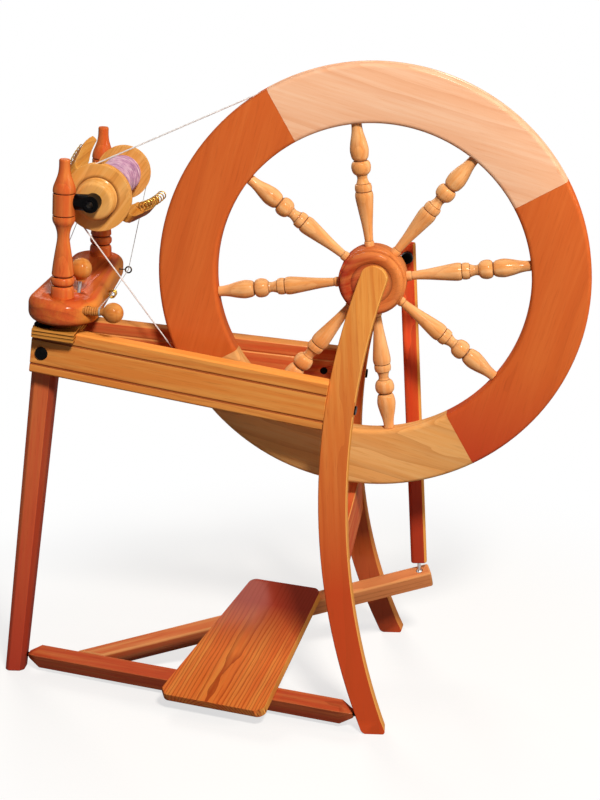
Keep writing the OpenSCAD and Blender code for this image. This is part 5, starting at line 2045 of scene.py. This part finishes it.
@dataclass
class Studio:
    """Pale floor, soft lamps and the photograph's camera.

    Attributes:
        azimuth: Camera's turn about the object, in degrees.
        elevation: Camera's height over the horizon, in degrees.
        distance: Camera's distance from its aim.
        roll: Camera's roll, in degrees.
        aim: The point that the camera looks at, from the floor under the wheel's axle.
        lens: Focal length for a 36 mm long side of the picture.
        fill: Strength of the room's even light.
        shadow: Distances from the object between which its shadow runs out to white.
        lift: How far the shadow is lifted to white under the object.
        lamp_aim: The point that the lamps look at.
    """

    azimuth: float = 7.569
    elevation: float = 18.024
    distance: float = 2.5907
    roll: float = -1.723
    aim: tuple[float, float, float] = (-0.10017, 0.0, 0.40264)
    lens: float = 87.85
    fill: float = 0.08
    shadow: tuple[float, float] = (0.3, 0.8)
    lift: float = 0.68
    lamp_aim: tuple[float, float, float] = (0.0, 0.0, 0.4)

    def camera(self) -> None:
        """Makes the camera at the photograph's angle."""
        a, e = math.radians(self.azimuth), math.radians(self.elevation)
        back = Vector((math.sin(a) * math.cos(e), -math.cos(a) * math.cos(e), math.sin(e)))
        axle = PLACES.point("wheel_spin")
        aim = Vector(self.aim) + Vector((axle.x, axle.y, 0))
        data = bpy.data.cameras.new("photo_camera")
        data.lens = self.lens
        data.sensor_width = 36
        data.clip_end = 50
        camera = bpy.data.objects.new("photo_camera", data)
        bpy.context.scene.collection.objects.link(camera)
        turn = (-back).to_track_quat("-Z", "Y").to_matrix().to_4x4()
        roll = Matrix.Rotation(math.radians(self.roll), 4, "Z")
        camera.matrix_world = Matrix.Translation(aim + back * self.distance) @ turn @ roll
        bpy.context.scene.camera = camera

    def lamp(self, name: str, place: Vector, size: float, power: float, colour: str) -> None:
        """Hangs one square soft lamp that looks at the object.

        Args:
            name: The lamp's name.
            place: Where it hangs.
            size: Its side.
            power: Its power in watts.
            colour: Its colour.
        """
        data = bpy.data.lights.new(name, "AREA")
        data.shape = "SQUARE"
        data.size = size
        data.energy = power
        data.color = linear(colour)[:3]
        lamp = bpy.data.objects.new(name, data)
        bpy.context.scene.collection.objects.link(lamp)
        look = Vector(self.lamp_aim) - place
        turn = look.to_track_quat("-Z", "Y").to_matrix().to_4x4()
        lamp.matrix_world = Matrix.Translation(place) @ turn

    def seen(self, tree: bpy.types.NodeTree) -> bpy.types.NodeSocket:
        """Tells the rays that show a surface: straight, mirrored or through glass.

        Args:
            tree: The node tree.

        Returns:
            1 for those rays and 0 for light on the object.
        """
        path = add_node(tree, "ShaderNodeLightPath").outputs
        seen = path["Is Camera Ray"]
        for ray in ("Is Transmission Ray", "Is Glossy Ray"):
            pair = {0: seen, 1: path[ray]}
            seen = add_node(tree, "ShaderNodeMath", pair, operation="MAXIMUM").outputs[0]
        return seen

    def floor(self) -> None:
        """Lays a plain pale floor that keeps the object's soft shadow and runs out to white."""
        shape = bmesh.new()
        bmesh.ops.create_grid(shape, x_segments=1, y_segments=1, size=12)
        floor = add_piece("studio_floor", to_mesh(shape, "studio_floor"))
        material, tree, shader, points = start_material("pale_studio_paper")
        tooth = add_node(
            tree,
            "ShaderNodeTexNoise",
            {"Vector": points, "Scale": 1 / (4 * MM)},
        ).outputs[0]
        colour = add_node(
            tree,
            "ShaderNodeValToRGB",
            {"Fac": tooth},
            ((0.3, "#F8F8F8"), (0.7, "#FBFBFB")),
        ).outputs[0]
        seen = self.seen(tree)
        # A grey bounce keeps the white paper from lighting the object from below.
        paper = add_node(
            tree,
            "ShaderNodeMix",
            {0: seen, 6: linear("#707070"), 7: colour},
            data_type="RGBA",
        ).outputs[2]
        connect(tree, shader, {"Base Color": paper, "Roughness": 0.9, "Specular IOR Level": 0.1})
        away = add_node(tree, "ShaderNodeVectorMath", {0: points}, operation="LENGTH").outputs["Value"]
        near, far = self.shadow
        white = add_node(
            tree,
            "ShaderNodeMapRange",
            {"Value": away, "From Min": near, "From Max": far, "To Min": self.lift},
            interpolation_type="SMOOTHSTEP",
        ).outputs[0]
        share = add_node(tree, "ShaderNodeMath", {0: white, 1: seen}, operation="MULTIPLY").outputs[0]
        bright = add_node(
            tree,
            "ShaderNodeEmission",
            {"Color": linear("#FFFFFF"), "Strength": 1.0},
        ).outputs[0]
        mix = add_node(
            tree,
            "ShaderNodeMixShader",
            {0: share, 1: shader.outputs[0], 2: bright},
        ).outputs[0]
        tree.links.new(mix, tree.nodes["Material Output"].inputs["Surface"])
        dress(floor, material)

    def world(self) -> None:
        """Fills the room with even light, and shows white behind the object."""
        world = bpy.data.worlds.new("studio_world")
        bpy.context.scene.world = world
        world.use_nodes = True
        tree = world.node_tree
        strength = add_node(
            tree,
            "ShaderNodeMapRange",
            {"Value": self.seen(tree), "To Min": self.fill, "To Max": 1.0},
        ).outputs[0]
        room = tree.nodes["Background"]
        room.inputs["Color"].default_value = linear("#FFFFFF")
        tree.links.new(strength, room.inputs["Strength"])

    def build(self) -> None:
        """Sets up the whole studio."""
        bpy.context.scene.view_settings.view_transform = "Standard"
        self.floor()
        self.world()
        self.lamp("key_softbox", Vector((1.15, -2.45, 2.95)), 0.55, 135, "#FFF8EE")
        self.lamp("right_softbox", Vector((2.8, -0.6, 1.3)), 0.8, 28, "#FFF2E0")
        self.lamp("rear_softbox", Vector((-1.3, 2.6, 2.0)), 1.2, 48, "#FFF6EC")
        self.camera()


def main() -> None:
    """Builds the spinning wheel piece by piece, then the studio around it."""
    logging.basicConfig(level=logging.INFO, format="%(name)s: %(message)s")
    for part in (DriveBand(), DriveWheel(), Table(), Treadle(), FlyerBar(), Flyer(), Studio()):
        part.build()
        LOG.info("%s is done", type(part).__name__)


if __name__ == "__main__":
    main()
